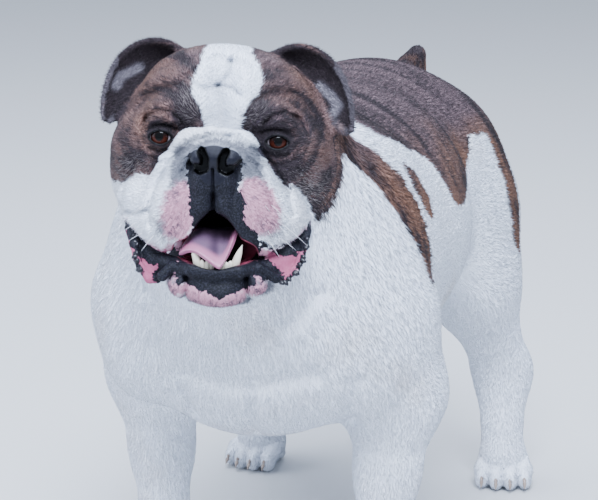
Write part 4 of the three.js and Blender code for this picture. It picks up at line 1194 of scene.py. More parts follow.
def eye_ball(s):
    """One eye, in the head's frame, looking ahead and a little outwards."""
    centre = Vector((s * EYE_X, EYE_Y, 0))
    sight = Matrix.Rotation(math.radians(s * 4), 3, "Z") @ Vector((0, -1, 0.02))
    side = Vector((0, 0, 1)).cross(sight).normalized()
    up = sight.cross(side)
    points, away, around = [], [], []
    for i in range(EYE_RINGS + 1):
        angle = math.pi * i / EYE_RINGS
        degrees = math.degrees(angle)
        r = EYE_RADIUS + 0.9 * math.exp(-((degrees / 30) ** 4))
        for j in range(EYE_SIDES if 0 < i < EYE_RINGS else 1):
            turn = 2 * math.pi * j / EYE_SIDES
            out = side * math.cos(turn) + up * math.sin(turn)
            points.append(centre + (sight * math.cos(angle) + out * math.sin(angle)) * r)
            away.append(degrees)
            around.append(out)
    faces = []
    for i in range(EYE_RINGS):
        for j in range(EYE_SIDES):
            k = (j + 1) % EYE_SIDES
            here, there = 1 + (i - 1) * EYE_SIDES, 1 + i * EYE_SIDES
            if i == 0:
                faces.append((0, 1 + k, 1 + j))
            elif i == EYE_RINGS - 1:
                faces.append((here + j, here + k, len(points) - 1))
            else:
                faces.append((here + j, here + k, there + k, there + j))
    eye = mesh_from("eye_ball_" + ("left" if s > 0 else "right"), from_head(np.array(points).T), faces)
    outward(eye)
    store(eye, "sight", away)
    store(eye, "around", np.array(around))
    eye.data.shade_smooth()
    return eye


eyes = [eye_ball(s) for s in (1, -1)]
print("eyes of", len(eyes[0].data.polygons), "faces")

# %% [markdown]
# ## Tongue
#
# The tongue lies in the mouth as a gutter, its tip over the lower front teeth, one edge curled up and the
# other laid over the teeth, as when a dog pants. It is a thin form that turns in space, so it starts as a
# small sheet of named places, which is then given its thickness and rounded by subdivision.

# %% Tongue
TONGUE = (  # rows from the tongue's root to its rim, each from the dog's right to its left
    ((-17, 14, -73), (-12, 14, -70), (-5, 14, -69), (1, 14, -70),
     (7, 14, -69), (13, 14, -70), (18, 14, -73)),
    ((-19, -12, -74), (-13, -12, -69), (-6, -12, -68), (1, -12, -71),
     (8, -12, -68.5), (15, -12, -69), (19, -12, -68)),
    ((-22, -26, -80), (-17, -28, -72), (-8, -29, -71), (2, -29, -76),
     (8, -29, -75), (14, -28, -73), (18, -27, -65)),
    ((-24, -36, -84), (-17, -40, -75.5), (-8, -43, -75), (3.5, -44, -82),
     (9, -44, -82), (14, -39, -76), (18.5, -33, -64.5)),
    ((-24.5, -40, -85), (-15.5, -47, -78.5), (-7, -51, -82), (5.5, -56, -90),
     (9, -56, -90), (13.5, -48, -82), (18.5, -37, -66)),
    ((-24.5, -41, -85.5), (-15.5, -48, -79.5), (-7, -52, -83), (6.5, -57.5, -92),
     (8.5, -57.5, -92), (13.5, -49, -83), (18.5, -38, -67)),
)
TONGUE_EDGE = (0, 0, 0.1, 0.35, 1, 1)  # how near each row is to the rim
ACROSS = len(TONGUE[0])
GROOVE = ACROSS // 2
cells = [(i, j) for i in range(len(TONGUE)) for j in range(ACROSS)]
places = np.array([TONGUE[i][j] for i, j in cells], dtype=np.float32)
tongue = mesh_from("tongue_flesh", from_head(places.T), sheet_quads(len(TONGUE), ACROSS))
store(tongue, "edge", [max(abs(j - GROOVE) / GROOVE, TONGUE_EDGE[i]) ** 3 for i, j in cells])
# The groove down the middle of the tongue gets painted shade.
store(tongue, "hollow", [1.0 if j == GROOVE and i < len(TONGUE) - 1 else 0.0 for i, j in cells])
slab = tongue.modifiers.new("slab", "SOLIDIFY")
slab.thickness = 0.0042
slab.offset = 0.0
smooth = tongue.modifiers.new("smooth", "SUBSURF")
smooth.levels = smooth.render_levels = 3
applied(tongue)
outward(tongue)
tongue.data.shade_smooth()
print(len(tongue.data.polygons), "faces of tongue")

# %% [markdown]
# ## Teeth and claws
#
# Both are horns: a curved line with a round section that narrows to a blunt tip. One function makes them
# all. Only the lower front teeth show, two fangs with six small cutters between them. A paw has four
# claws. The same function makes the black fringe along the loose edges of the lower lip, and a few
# whiskers.

# %% Teeth and claws
def horns(name, paths, sides=14):
    """One mesh of closed tapering tubes. Each path is a list of places with a width and a thickness there."""
    points, faces = [], []
    for path in paths:
        places = [Vector(p[:3]) for p in path]
        start = len(points)
        for i, (at, stop) in enumerate(zip(places, path)):
            along = (places[min(i + 1, len(places) - 1)] - places[max(i - 1, 0)]).normalized()
            side = along.cross(Vector((0, 1, 0)) if abs(along.y) < 0.7 else Vector((1, 0, 0))).normalized()
            other = along.cross(side)
            for j in range(sides):
                turn = 2 * math.pi * j / sides
                points.append(at + side * math.cos(turn) * stop[3] + other * math.sin(turn) * stop[4])
        for i in range(len(path) - 1):
            for j in range(sides):
                k = (j + 1) % sides
                a, b = start + i * sides, start + (i + 1) * sides
                faces.append((a + j, a + k, b + k, b + j))
        faces.append(tuple(start + j for j in reversed(range(sides))))
        faces.append(tuple(start + (len(path) - 1) * sides + j for j in range(sides)))
    piece = mesh_from(name, np.array(points).T, faces)
    outward(piece)
    piece.data.shade_smooth()
    return piece


def bend(ends, radii, flat=1.0, steps=9):
    """A path through three places, its width by four radii from root to tip, rounded off at the end."""
    a, b, c = (np.array(v, dtype=float) for v in ends)
    path = []
    for i in range(steps + 1):
        u = 1 - (1 - i / steps) ** 1.6
        at = (1 - u) ** 2 * a + 2 * u * (1 - u) * b + u * u * c
        r = float(np.interp(u, [0, 0.35, 0.75, 1], radii)) * math.sqrt(max(1 - u ** 8, 0.02))
        path.append((*at, r, r * flat))
    return path


def head_path(path):
    """A path in the head's frame, moved to the dog's."""
    at = from_head(np.array([p[:3] for p in path]).T).T
    return [(*p, *q[3:]) for p, q in zip(at, path)]


FANG = (4.0, 3.4, 2.3, 0.6)  # radii from root to tip
CUTTER = (1.9, 2.0, 1.9, 1.3)
fangs = [
    bend(((17, -43, -95), (19.5, -47, -86), (23.5, -45, -74.5)), FANG, 0.85),
    bend(((-8, -43, -95), (-10.5, -47, -86), (-14, -46, -78.5)), FANG, 0.85),
]
cutters = [bend(((x, -47, -94), (x, -48.5, -90), (x, -48.5, top)), CUTTER, 0.7)
           for x, top in ((-6, -86.5), (-2.4, -87.5), (1.2, -88), (9, -88), (12.2, -87.5), (15.2, -86.5))]


def lip_beads(line, start, back, first=3.5, apart=3.9):
    """Small horns that stand out from a loose edge of the lip, a little irregular in place and size."""
    stops = np.array(line, dtype=float)
    way = np.concatenate([[0], np.cumsum(np.linalg.norm(np.diff(stops, axis=0), axis=1))])
    beads = []
    for k, at in enumerate(np.arange(first, way[-1], apart)):
        at += 1.5 * math.sin(k * 2.4)
        x, z = (float(np.interp(at, way, stops[:, i])) for i in (0, 1))
        out = np.array([x - 4, 0, z + 76]) / math.hypot(x - 4, z + 76)
        root = np.array([x, start + back * (z + 90) * 0.55 - 3, z]) - out * 2.0
        far = 2.6 + 1.6 * math.sin(k * 1.9) ** 2
        ends = (root, root + out * far * 0.6 + (0, -1.5, 0.6), root + out * far + (0, -1.5, -0.8))
        beads.append(bend(ends, (2.0, 1.8 + 0.4 * math.sin(k * 3.1), 1.4, 0.8)))
    return beads


def whisker(k):
    """One of the hairs beside the nose, left and right in turn."""
    s, n = (-1 if k % 2 else 1), k // 2
    across, down = 30 + 5 * (n % 4) + n % 3, 38 + 5.5 * (n // 2) + 2 * (n % 2)
    root = np.array([s * across, -40 + 2.4 * (n % 4), -down], dtype=float)
    way = np.array([s * (0.55 + 0.1 * (n % 4)), -0.6 + 0.1 * (n % 3), -0.15 - 0.09 * (n % 5)])
    far = 26 + 5 * (n % 3)
    return bend((root, root + way * far * 0.5, root + way * far + (0, 4, -7)), (0.2, 0.17, 0.12, 0.06), 1, 6)


WHISKERS = 22
beads = lip_beads(LOOSE_LIPS[0], -34, 1.0) + lip_beads(LOOSE_LIPS[1], -30, 1.4)
fringe = horns("lip_fringe", [head_path(p) for p in beads], 10)
hairs = horns("whiskers", [head_path(whisker(k)) for k in range(WHISKERS)], 5)
teeth = horns("teeth", [head_path(p) for p in fangs + cutters])


def claw(foot, size, toe):
    """One claw, over the end of its toe."""
    back = 5 * abs(toe)
    ends = (on_paw(foot, size, 14.6 * toe, 30 - back, 15), on_paw(foot, size, 15 * toe, 43 - back, 17),
            on_paw(foot, size, 15.3 * toe, 48 - back, 4.5))
    return bend(ends, (3.4 * size, 3.2 * size, 2.2 * size, 0.7), 0.85)


claws = horns("claws", [claw(foot, size, toe) for foot, size in PAWS for toe in TOES])
print(len(teeth.data.polygons), "faces of teeth and", len(claws.data.polygons), "of claws")

# %% [markdown]
# ## Materials by arithmetic
#
# A shader is a sum of patterns. Wiring it socket by socket hides the sum, so one small class wraps a
# socket and lets Python's own operators make the Math nodes.

# %% Shader helper
class Wire:
    """A socket that can be added, multiplied and compared like a number."""

    def __init__(self, maker, socket):
        self.maker = maker
        self.socket = socket

    def math(self, operation, *others):
        return self.maker.node("ShaderNodeMath", {"operation": operation}, [self, *others])

    def __add__(self, other):
        return self.math("ADD", other)

    def __sub__(self, other):
        return self.math("SUBTRACT", other)

    def __mul__(self, other):
        return self.math("MULTIPLY", other)

    def __truediv__(self, other):
        return self.math("DIVIDE", other)

    def __radd__(self, other):
        return self.maker.number(other) + self

    def __rsub__(self, other):
        return self.maker.number(other) - self

    def __rmul__(self, other):
        return self.maker.number(other) * self

    def __rtruediv__(self, other):
        return self.maker.number(other) / self

    def rise(self, low, high):
        """Nothing below low, one above high, and a soft step between them."""
        soft = {"interpolation_type": "SMOOTHSTEP"}
        return self.maker.node("ShaderNodeMapRange", soft, [self, low, high, 0.0, 1.0])


class Maker:
    """Makes the nodes of one material."""

    def __init__(self, name):
        self.material = bpy.data.materials.new(name)
        self.material.use_nodes = True
        self.tree = self.material.node_tree
        self.tree.nodes.clear()
        self.shader = self.tree.nodes.new("ShaderNodeBsdfPrincipled")
        out = self.tree.nodes.new("ShaderNodeOutputMaterial")
        self.tree.links.new(self.shader.outputs["BSDF"], out.inputs["Surface"])

    def node(self, kind, settings, values=(), named=None, output=0):
        """A node of a kind: its settings first, then values or links by place or by name, and one output."""
        made = self.tree.nodes.new(kind)
        for key, value in settings.items():
            setattr(made, key, value)
        by_name = [(made.inputs[k], v) for k, v in (named or {}).items()]
        for socket, value in [*zip(made.inputs, values), *by_name]:
            if isinstance(value, Wire):
                self.tree.links.new(value.socket, socket)
            else:
                socket.default_value = value
        return Wire(self, made.outputs[output])

    def number(self, value):
        """A plain number that stands on the left of an operator."""
        made = self.tree.nodes.new("ShaderNodeValue")
        made.outputs[0].default_value = value
        return Wire(self, made.outputs[0])

    def attribute(self, name, output="Fac"):
        return self.node("ShaderNodeAttribute", {"attribute_name": name}, output=output)

    def place(self):
        return self.node("ShaderNodeTexCoord", {}, output="Object")

    def noise(self, where, scale, detail=3.0, roughness=0.55):
        return self.node("ShaderNodeTexNoise", {}, named={
            "Vector": where, "Scale": scale, "Detail": detail, "Roughness": roughness})

    def scaled(self, where, factors):
        """A vector or a colour, each part of it by its own factor."""
        return self.node("ShaderNodeVectorMath", {"operation": "MULTIPLY"}, [where, factors])

    def blend(self, amount, low, high):
        """From the colour low to the colour high by an amount."""
        made = self.tree.nodes.new("ShaderNodeMix")
        made.data_type = "RGBA"
        for name, value in (("Factor_Float", amount), ("A_Color", low), ("B_Color", high)):
            socket = next(s for s in made.inputs if s.identifier == name)
            if isinstance(value, Wire):
                self.tree.links.new(value.socket, socket)
            else:
                socket.default_value = value if name == "Factor_Float" else (*value, 1.0)
        return Wire(self, next(s for s in made.outputs if s.identifier == "Result_Color"))

    def bump(self, height, strength, distance):
        return self.node("ShaderNodeBump", {}, named={
            "Height": height, "Strength": strength, "Distance": distance})

    def finish(self, links=None, **values):
        """Settings of the shader that are the same all over, and links that vary."""
        for name, value in values.items():
            self.shader.inputs[name.replace("_", " ")].default_value = value
        for name, wire in (links or {}).items():
            self.tree.links.new(wire.socket, self.shader.inputs[name])
        return self.material


def tint(code):
    """A colour of a screen, as a code of six digits, in linear light."""
    rgb = [int(code[i:i + 2], 16) / 255 for i in (0, 2, 4)]
    return tuple(c / 12.92 if c <= 0.04045 else ((c + 0.055) / 1.055) ** 2.4 for c in rgb)


print("the palest hair is", [round(c, 2) for c in tint("f7fbff")])

# %% [markdown]
# ## Coat, eyes, tongue and horn
#
# The coat's colour is layered as on the dog: white hair, brindle where its depth is above nothing, grey
# specks, bare pink and black skin, then lids, nose and mouth. Over these lies painted shade: in the
# creases, round the eyes, under the brows, beside the roll and in the nostrils. Noise frays each edge,
# because no marking on an animal ends in a clean line. The tufts use the same sum, read at their roots, so
# hair and skin always agree.

# %% Coat
def white_hair(m, where, tone):
    """Pale hair, a little stained here and there."""
    white = m.blend(tone, tint("e2e8f8"), tint("f7fbff"))
    return m.blend(m.noise(where, 11.0, 3.0).rise(0.52, 0.75) * 0.4, white, tint("d5cbc6"))


def brown_hair(m, where, tone, streaks, ragged):
    """Tan hair, warm in some places and cool in others, with nearly black stripes."""
    warm = m.blend(tone.rise(0.3, 0.7), tint("684636"), tint("96705d"))
    cool = m.blend(tone.rise(0.3, 0.7), tint("4c3d42"), tint("7c676b"))
    warmth = m.noise(where, 14.0, 2.0) - 0.5 + m.attribute("warmth")
    tan = m.blend(warmth.rise(0.3, 0.9), cool, warm)
    # Stripes grow darker with the darkest brindle and the painted shade of the face, and inside the ears.
    stripes = m.attribute("dusk") * 0.3 + m.attribute("ear_inside") * 0.35 + streaks + ragged * 0.35
    return m.blend(stripes.rise(0.41, 0.63), tan, m.blend(tone, tint("171317"), tint("40353a")))


def coat_material(name, root=None):
    """Hair over the whole dog, with bare black or pink skin where the hair gives out."""
    m = Maker(name)
    where = m.attribute(root, "Vector") if root else m.place()
    ragged = m.noise(where, 170.0, 4.0, 0.7) - 0.5
    jagged = m.noise(where, 230.0, 3.0, 0.6) - 0.5
    tone = m.noise(where, 500.0, 2.0, 0.8)
    specks = m.noise(where, 420.0, 3.0, 0.7)
    drawn_out = m.scaled(where, (14.0, 14.0, 14.0))
    bands = m.node("ShaderNodeCombineXYZ", {}, [m.attribute("ripple") * 0.1])
    bands = m.node("ShaderNodeVectorMath", {"operation": "ADD"}, [drawn_out, bands])
    streaks = m.noise(bands, 1.0, 4.0, 0.65)
    # Hair, with pale locks at the ears, a grey edge to the bare skin, and painted shade round the eyes.
    brown = (m.attribute("brown") + ragged * 12.0).rise(-1.0, 1.5)
    colour = m.blend(brown, white_hair(m, where, tone), brown_hair(m, where, tone, streaks, ragged))
    locks = m.blend(streaks, tint("8d8790"), tint("c4bfcb"))
    colour = m.blend(m.attribute("ear_edge") * (tone * 0.9 + 0.25), colour, locks)
    grey = (m.attribute("grey") * 1.3 + specks - 1.0).rise(-0.3, 0.3)
    colour = m.blend(grey * 0.8, colour, tint("42424f"))
    rim = m.attribute("rim")
    shade = 1 - (rim + jagged * 5.0).rise(1.5, 8.0)
    colour = m.blend(shade * 0.7, colour, tint("1f1b1f"))
    # Pink skin, with freckles and dark blots.
    pink = (m.attribute("pink") + jagged * 16.0).rise(-3.0, 4.0)
    freckles = m.noise(where, 260.0, 2.0).rise(0.62, 0.68)
    flesh = m.blend(freckles * 0.5, m.blend(specks, tint("ad7286"), tint("d3a3b4")), tint("4a4654"))
    colour = m.blend(pink, colour, flesh)
    colour = m.blend(m.attribute("wet") * pink, colour, m.blend(specks, tint("8f4560"), tint("b86a85")))
    blots = m.noise(where, 330.0, 3.0, 0.7).rise(0.45, 0.6)
    colour = m.blend(m.attribute("grey").rise(0.15, 0.7) * pink * blots * 0.85, colour, tint("3b3844"))
    # Painted shade in the creases, stronger in brown hair.
    colour = m.blend(m.attribute("fold") * (0.3 + brown * 0.45), colour, tint("17131a"))
    # Black skin, under a thin down.
    black = (m.attribute("black") + jagged * 11.0).rise(-0.4, 0.6)
    down = m.noise(where, 900.0, 2.0, 0.7).rise(0.4, 0.75)
    colour = m.blend(black, colour, m.blend(down, tint("0e0e13"), tint("2d2d37")))
    # Painted shade in the creases of the black skin.
    colour = m.blend(black * m.attribute("fold"), colour, tint("030305"))
    # Lids, mouth, nose and nostrils.
    lid = 1 - (rim + jagged * 1.2).rise(1.2, 2.4)
    colour = m.blend(lid, colour, tint("080608"))
    mouth = m.attribute("mouth").rise(-1.0, 0.5)
    colour = m.blend(mouth, colour, m.blend(m.attribute("red"), tint("0b070a"), tint("a04c60")))
    leather = m.attribute("leather").rise(-0.8, 0.8)
    colour = m.blend(leather, colour, m.blend(specks, tint("0d0d13"), tint("22222c")))
    # Painted shade in the creases of the nose leather.
    colour = m.blend(leather * m.attribute("fold") * 1.5, colour, tint("030305"))
    # Painted shade inside the nostrils.
    colour = m.blend(m.attribute("deep").rise(-0.4, 0.6), colour, tint("020203"))
    if root:
        # A tuft is a little darker or paler than its neighbours, and darkest at its root.
        spread = {"Vector": m.scaled(where, (999.0, 999.0, 999.0))}
        chance = m.node("ShaderNodeTexWhiteNoise", {"noise_dimensions": "3D"}, named=spread)
        root_shade = ((1 - m.attribute("tip")) * 0.3 + chance * 0.2) * (0.08 + brown)
        pale = (chance + m.attribute("grizzle") * 0.4).rise(0.84, 0.98)
        colour = m.blend(pale * brown * (m.attribute("grizzle") * 0.6 + 0.12), colour, tint("c0b5b3"))
        colour = m.blend(root_shade, colour, m.scaled(colour, (0.45, 0.42, 0.44)))
        return m.finish({"Base Color": colour}, Roughness=0.75, Specular_IOR_Level=0.25)
    hair = m.noise(m.scaled(where, (900.0, 300.0, 500.0)), 1.0, 2.0)
    cells = {"Vector": where, "Scale": 1100.0}
    pebbles = m.node("ShaderNodeTexVoronoi", {"feature": "SMOOTH_F1"}, named=cells, output="Distance")
    height = (hair + m.noise(where, 220.0, 3.0) * 0.5) * (1 - leather) + pebbles * leather * 0.5
    rough = 0.8 - black * 0.2 - leather * 0.25 - mouth * 0.45 - lid * 0.3
    links = {"Base Color": colour, "Normal": m.bump(height, 0.3, 0.0007), "Roughness": rough}
    return m.finish(links, Specular_IOR_Level=0.15)


def eye_material():
    """Pupil, iris and white as rings round the line of sight."""
    m = Maker("eye")
    away = m.attribute("sight")
    fibres = m.noise(m.scaled(m.attribute("around", "Vector"), (9.0, 9.0, 9.0)), 1.0, 2.0)
    iris = m.blend(fibres, tint("260d09"), tint("4c2014"))
    height = m.node("ShaderNodeSeparateXYZ", {}, [m.attribute("around", "Vector")], output="Z")
    iris = m.blend((height + fibres * 0.6).rise(-0.3, 0.9), iris, tint("0d0403"))  # the upper lid's shadow
    ringed = m.blend(away.rise(25.0, 34.0), iris, tint("120606"))
    white = m.blend(away.rise(38.0, 50.0), tint("9d9094"), tint("3c2428"))
    seen = m.blend(away.rise(33.0, 37.0), ringed, white)
    seen = m.blend(1 - away.rise(12.0, 17.0), seen, (0.001, 0.001, 0.001))
    return m.finish({"Base Color": seen}, Roughness=0.5, Specular_IOR_Level=0.02,
                    Coat_Weight=0.3, Coat_Roughness=0.03)


def tongue_material():
    """Fine bumps over a wet purple, pink at the edge, with painted shade in the groove."""
    m = Maker("tongue")
    where = m.place()
    grain = m.noise(where, 800.0, 2.0)
    broad = m.noise(where, 70.0, 2.0)
    top = m.blend(broad, tint("5f4a63"), tint("85677f"))
    # Painted shade in the groove.
    top = m.blend(m.attribute("hollow").rise(0.2, 1.0) * 0.6, top, tint("2c2233"))
    colour = m.blend(m.attribute("edge").rise(0.1, 0.75), top, tint("b4718f"))
    return m.finish({"Base Color": colour, "Normal": m.bump(grain, 0.5, 0.0005)}, Roughness=0.3)


def ivory_material(name, pale, dull):
    """Enamel or horn, with faint growth lines."""
    m = Maker(name)
    broad = m.noise(m.place(), 240.0, 2.0)
    return m.finish({"Base Color": m.blend(broad, pale, dull)}, Roughness=0.3)


coat = coat_material("coat")
skin.data.materials.append(coat)
gaze = eye_material()
for eye in eyes:
    eye.data.materials.append(gaze)
tongue.data.materials.append(tongue_material())
teeth.data.materials.append(ivory_material("enamel", tint("efe9da"), tint("d8cdb4")))
claws.data.materials.append(ivory_material("horn", tint("b9a79a"), tint("6f6058")))
hairs.data.materials.append(ivory_material("whisker", tint("f4f3f6"), tint("cfccd4")))
fringe.data.materials.append(ivory_material("wet_black", tint("0c0b10"), tint("211f28")))

# %% [markdown]
# ## Tufts
#
# Hair this short could be left to bump alone, but then the outline stays hard like a toy's. So tufts
# stand all over the skin: each a thin blade of four faces, rooted just under the surface, that leans back
# along the lie. Geometry Nodes scatter them, because the same small shape is repeated some hundred
# thousand times and only its place, size and turn change. The coat is made in parts, so that no mesh
# grows too large.

# %% Tufts
class Tree:
    """Makes the nodes of one geometry tree."""

    def __init__(self, name):
        self.tree = bpy.data.node_groups.new(name, "GeometryNodeTree")
        self.tree.interface.new_socket("Geometry", in_out="INPUT", socket_type="NodeSocketGeometry")
        self.tree.interface.new_socket("Geometry", in_out="OUTPUT", socket_type="NodeSocketGeometry")
        self.given = self.tree.nodes.new("NodeGroupInput")
        self.result = self.tree.nodes.new("NodeGroupOutput")

    def input(self, name, kind, value):
        socket = self.tree.interface.new_socket(name, in_out="INPUT", socket_type=kind)
        socket.default_value = value
        return self.given.outputs[name]

    def node(self, kind, settings, links, output=0):
        made = self.tree.nodes.new(kind)
        for key, value in settings.items():
            setattr(made, key, value)
        for key, value in links.items():
            socket = made.inputs[key]
            if isinstance(value, bpy.types.NodeSocket):
                self.tree.links.new(value, socket)
            else:
                socket.default_value = value
        return made.outputs[output]

    def vector(self, operation, a, b=None, scale=None):
        links = {0: a}
        if b is not None:
            links[1] = b
        if scale is not None:
            links["Scale"] = scale
        return self.node("ShaderNodeVectorMath", {"operation": operation}, links)

    def number(self, operation, a, b):
        return self.node("ShaderNodeMath", {"operation": operation}, {0: a, 1: b})

    def named(self, name, kind="FLOAT"):
        return self.node("GeometryNodeInputNamedAttribute", {"data_type": kind}, {"Name": name})

    def stored(self, geometry, name, kind, value):
        links = {"Geometry": geometry, "Name": name, "Value": value}
        return self.node("GeometryNodeStoreNamedAttribute", {"data_type": kind, "domain": "POINT"}, links)

    def chance(self, low, high, seed):
        made = self.tree.nodes.new("FunctionNodeRandomValue")
        made.data_type = "FLOAT"
        floats = [s for s in made.inputs if s.type == "VALUE" and s.enabled]
        floats[0].default_value, floats[1].default_value = low, high
        made.inputs["Seed"].default_value = seed
        return next(s for s in made.outputs if s.type == "VALUE" and s.enabled)


def tuft_tree(material):
    """Scatters blades over the faces of one part of the skin, along the lie stored there."""
    t = Tree("tufts")
    part = t.input("Part", "NodeSocketInt", 0)
    lean = t.input("Lean", "NodeSocketFloat", 0.2)
    here = t.node("FunctionNodeCompare", {"data_type": "INT", "operation": "EQUAL"},
                  {2: t.named("part", "INT"), 3: part})
    scatter = t.tree.nodes.new("GeometryNodeDistributePointsOnFaces")
    t.tree.links.new(t.given.outputs["Geometry"], scatter.inputs["Mesh"])
    t.tree.links.new(here, scatter.inputs["Selection"])
    t.tree.links.new(t.named("close"), scatter.inputs["Density"])
    scatter.inputs["Seed"].default_value = 7
    at = t.node("GeometryNodeInputPosition", {}, {})
    points = t.stored(scatter.outputs["Points"], "root", "FLOAT_VECTOR", at)
    # The blade leans back along the lie, turned a little to one side and lifted a little, each by chance.
    up = scatter.outputs["Normal"]
    lie = t.named("lie", "FLOAT_VECTOR")
    side = t.vector("CROSS_PRODUCT", up, lie)
    along = t.vector("ADD", lie, t.vector("SCALE", side, scale=t.chance(-0.3, 0.3, 1)))
    lift = t.number("MULTIPLY", lean, t.chance(0.4, 1.6, 2))
    along = t.vector("ADD", along, t.vector("SCALE", up, scale=lift))
    turn = t.node("FunctionNodeAlignRotationToVector", {"axis": "Z"}, {"Vector": along})
    flat = {"axis": "Y", "pivot_axis": "Z"}
    turn = t.node("FunctionNodeAlignRotationToVector", flat, {"Rotation": turn, "Vector": up})
    grown = t.chance(0.75, 1.3, 3)
    width = t.number("MULTIPLY", t.named("wide"), grown)
    thick = t.number("MULTIPLY", width, 0.45)
    long = t.number("MULTIPLY", t.named("long"), grown)
    size = t.node("ShaderNodeCombineXYZ", {}, {"X": width, "Y": thick, "Z": long})
    blade = t.node("GeometryNodeMeshCone", {"fill_type": "NGON"}, {
        "Vertices": 3, "Radius Top": 0.0, "Radius Bottom": 0.55, "Depth": 1.0})
    height = t.node("ShaderNodeSeparateXYZ", {}, {"Vector": at}, output="Z")
    blade = t.stored(blade, "tip", "FLOAT", height)
    all_over = t.node("GeometryNodeInstanceOnPoints", {}, {
        "Points": points, "Instance": blade, "Rotation": turn, "Scale": size})
    real = t.node("GeometryNodeRealizeInstances", {}, {"Geometry": all_over})
    done = t.node("GeometryNodeSetMaterial", {}, {"Geometry": real, "Material": material})
    t.tree.links.new(done, t.result.inputs[0])
    return t.tree


PARTS = ("face", "head", "neck", "chest", "left_side", "right_side", "belly", "rump",
         "left_foreleg", "right_foreleg", "left_hindleg", "right_hindleg")
FACE_LEAN, BODY_LEAN = 0.15, 0.08  # how far tufts stand off the skin
KEPT = {*marks, "root", "tip"} - {"wet"}  # what a tuft carries for its material
PATCH = 0.003  # width of a tuft's own patch on the map
PATCH_ENDS = ((-0.5, -0.5), (0.5, -0.5), (-0.2, -0.3), (0.1, 0.5))


def part_numbers(piece):
    """Which part of the coat each face belongs to."""
    mesh = piece.data
    middles = np.empty(len(mesh.polygons) * 3, dtype=np.float32)
    mesh.polygons.foreach_get("center", middles)
    p = (middles.reshape(-1, 3) * 1000 - np.array(MIDDLE, dtype=np.float32)).T
    q = to_head(p)
    head_here = everywhere(face_field, q) < everywhere(body_field, p)
    part = np.where(p[0] > 0, PARTS.index("left_side"), PARTS.index("right_side"))
    part = np.where(p[1] > 165, PARTS.index("rump"), part)
    part = np.where((p[2] < 235) & (p[1] > -95), PARTS.index("belly"), part)
    part = np.where((p[1] < -95) & (p[2] < 350), PARTS.index("chest"), part)
    part = np.where((p[2] < 350 + (p[1] + 190) * 0.9) | (p[1] > -95), part, PARTS.index("neck"))
    leg = PARTS.index("left_foreleg") + (p[0] < 0) + 2 * (p[1] > 20)
    part = np.where(p[2] < 190 - 40 * (np.abs(p[0]) < 60), leg, part)
    part = np.where(head_here, np.where(q[1] < 8, PARTS.index("face"), PARTS.index("head")), part)
    return part


def coat_part(tree, number, name, lean):
    """The tufts of one part as a plain mesh, each mapped to its root's place on the skin's map."""
    piece = bpy.data.objects.new(name, skin.data)
    bpy.context.scene.collection.objects.link(piece)
    scatter = piece.modifiers.new("tufts", "NODES")
    scatter.node_group = tree
    wanted = {"Part": number, "Lean": lean}
    for item in tree.interface.items_tree:
        if item.in_out == "INPUT" and item.name in wanted:
            scatter[item.identifier] = wanted[item.name]
    bpy.context.view_layer.update()
    done = bpy.data.meshes.new_from_object(piece.evaluated_get(bpy.context.evaluated_depsgraph_get()))
    piece.modifiers.clear()
    piece.data = done
    done.name = name
    done.materials.clear()
    done.materials.append(tuft_coat)
    root_uv = np.empty(len(done.vertices) * 2, dtype=np.float32)
    done.attributes["OFBake"].data.foreach_get("vector", root_uv)
    spare = [a.name for a in done.attributes if not (a.name in KEPT or a.is_internal or a.is_required)]
    for extra in spare:
        done.attributes.remove(done.attributes[extra])
    corners = np.empty(len(done.loops), dtype=np.int64)
    done.loops.foreach_get("vertex_index", corners)
    own = np.array(PATCH_ENDS, dtype=np.float32) * PATCH
    uv = root_uv.reshape(-1, 2)[corners] + own[corners % 4]
    layer = done.uv_layers.new(name="OFBake")
    layer.data.foreach_set("uv", uv.ravel())
    return piece


part = part_numbers(skin)
layer = skin.data.attributes.new("part", "INT", "FACE")
layer.data.foreach_set("value", part.astype(np.int32))
tuft_coat = coat_material("tufts", "root")
tuft_nodes = tuft_tree(tuft_coat)
tufts = []
clock = time.time()
for number, name in enumerate(PARTS):
    lean = FACE_LEAN if name in ("face", "head") else BODY_LEAN
    piece = coat_part(tuft_nodes, number, "fur_" + name, lean)
    tufts.append(piece)
    print(name, len(piece.data.polygons), "faces", round(time.time() - clock, 1), "s")

# %% [markdown]
# ## Joining the frame
#
# The skin stands in for all the flesh of the exact model, and each eye and the tongue for its own part.
# Every piece rides on the root, because a still has no joints.

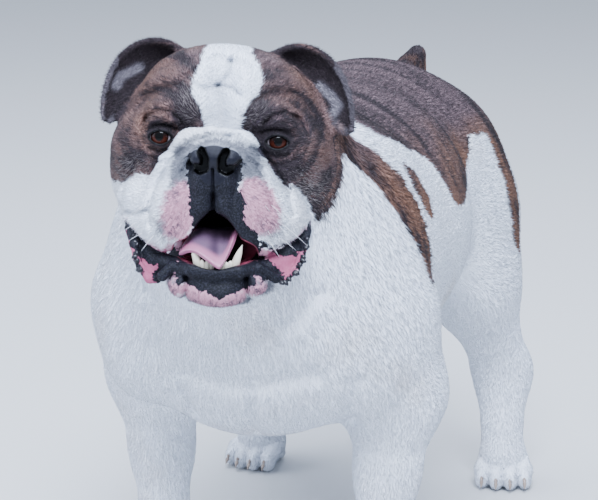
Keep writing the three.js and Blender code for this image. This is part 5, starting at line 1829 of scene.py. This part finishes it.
# %% Ride
FLESH = ("head", "jaw", "nose", "ear_left", "ear_right", "neck", "torso", "tail",
         "foreleg_left", "foreleg_right", "hindleg_left", "hindleg_right",
         "forepaw_left", "forepaw_right", "hindpaw_left", "hindpaw_right")
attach(skin, "root")
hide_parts(*FLESH)
others = [(eyes[0], "eye", ["eye_left"]), (eyes[1], "eye", ["eye_right"]), (tongue, "wet_skin", ["tongue"])]
others += [(piece, "white_coat", []) for piece in (teeth, claws, fringe, hairs, *tufts)]
for piece, slot, nodes in others:
    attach(piece, "root")
    if nodes:
        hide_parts(*nodes)

# %% [markdown]
# ## Stage
#
# A pale floor and three large soft lamps: one high in front, one low from the side and one from above,
# which draws the outline of the back. White hair needs much light but little contrast, or it turns grey.

# %% Stage
SKY = (0.74, 0.83, 1.0)
AIM = (0, -0.1, 0.28)
FLOOR_REACH = 6  # from the middle of the floor to its edge, in metres


def soft_light(name, place, size, power):
    """A square lamp that looks at the middle of the dog."""
    data = bpy.data.lights.new(name, "AREA")
    data.size = size
    data.energy = power
    data.color = SKY
    lamp = bpy.data.objects.new(name, data)
    bpy.context.scene.collection.objects.link(lamp)
    lamp.location = place
    lamp.rotation_euler = (Vector(AIM) - Vector(place)).to_track_quat("-Z", "Y").to_euler()


soft_light("key", (0.7, -1.7, 2.7), 1.3, 225)
soft_light("fill", (-2.4, -1.2, 1.2), 2.2, 70)
soft_light("top", (-0.3, 0.5, 2.8), 2.0, 140)
floor_mesh = bpy.data.meshes.new("floor")
floor_ends = [(x * FLOOR_REACH, y * FLOOR_REACH, 0) for x, y in ((-1, -1), (1, -1), (1, 1), (-1, 1))]
floor_mesh.from_pydata(floor_ends, [], [(0, 1, 2, 3)])
floor = bpy.data.objects.new("floor", floor_mesh)
bpy.context.scene.collection.objects.link(floor)
floor.data.materials.append(Maker("floor").finish(Base_Color=(0.56, 0.56, 0.56, 1), Roughness=0.9))
world = bpy.data.worlds.new("world")
world.use_nodes = True
backdrop = world.node_tree.nodes["Background"]
backdrop.inputs["Color"].default_value = (0.68, 0.79, 1.0, 1)
backdrop.inputs["Strength"].default_value = 1.0
bpy.context.scene.world = world

# %% [markdown]
# ## Finish
#
# Last, the scene is brought up to date.

# %% Finish
bpy.context.view_layer.update()
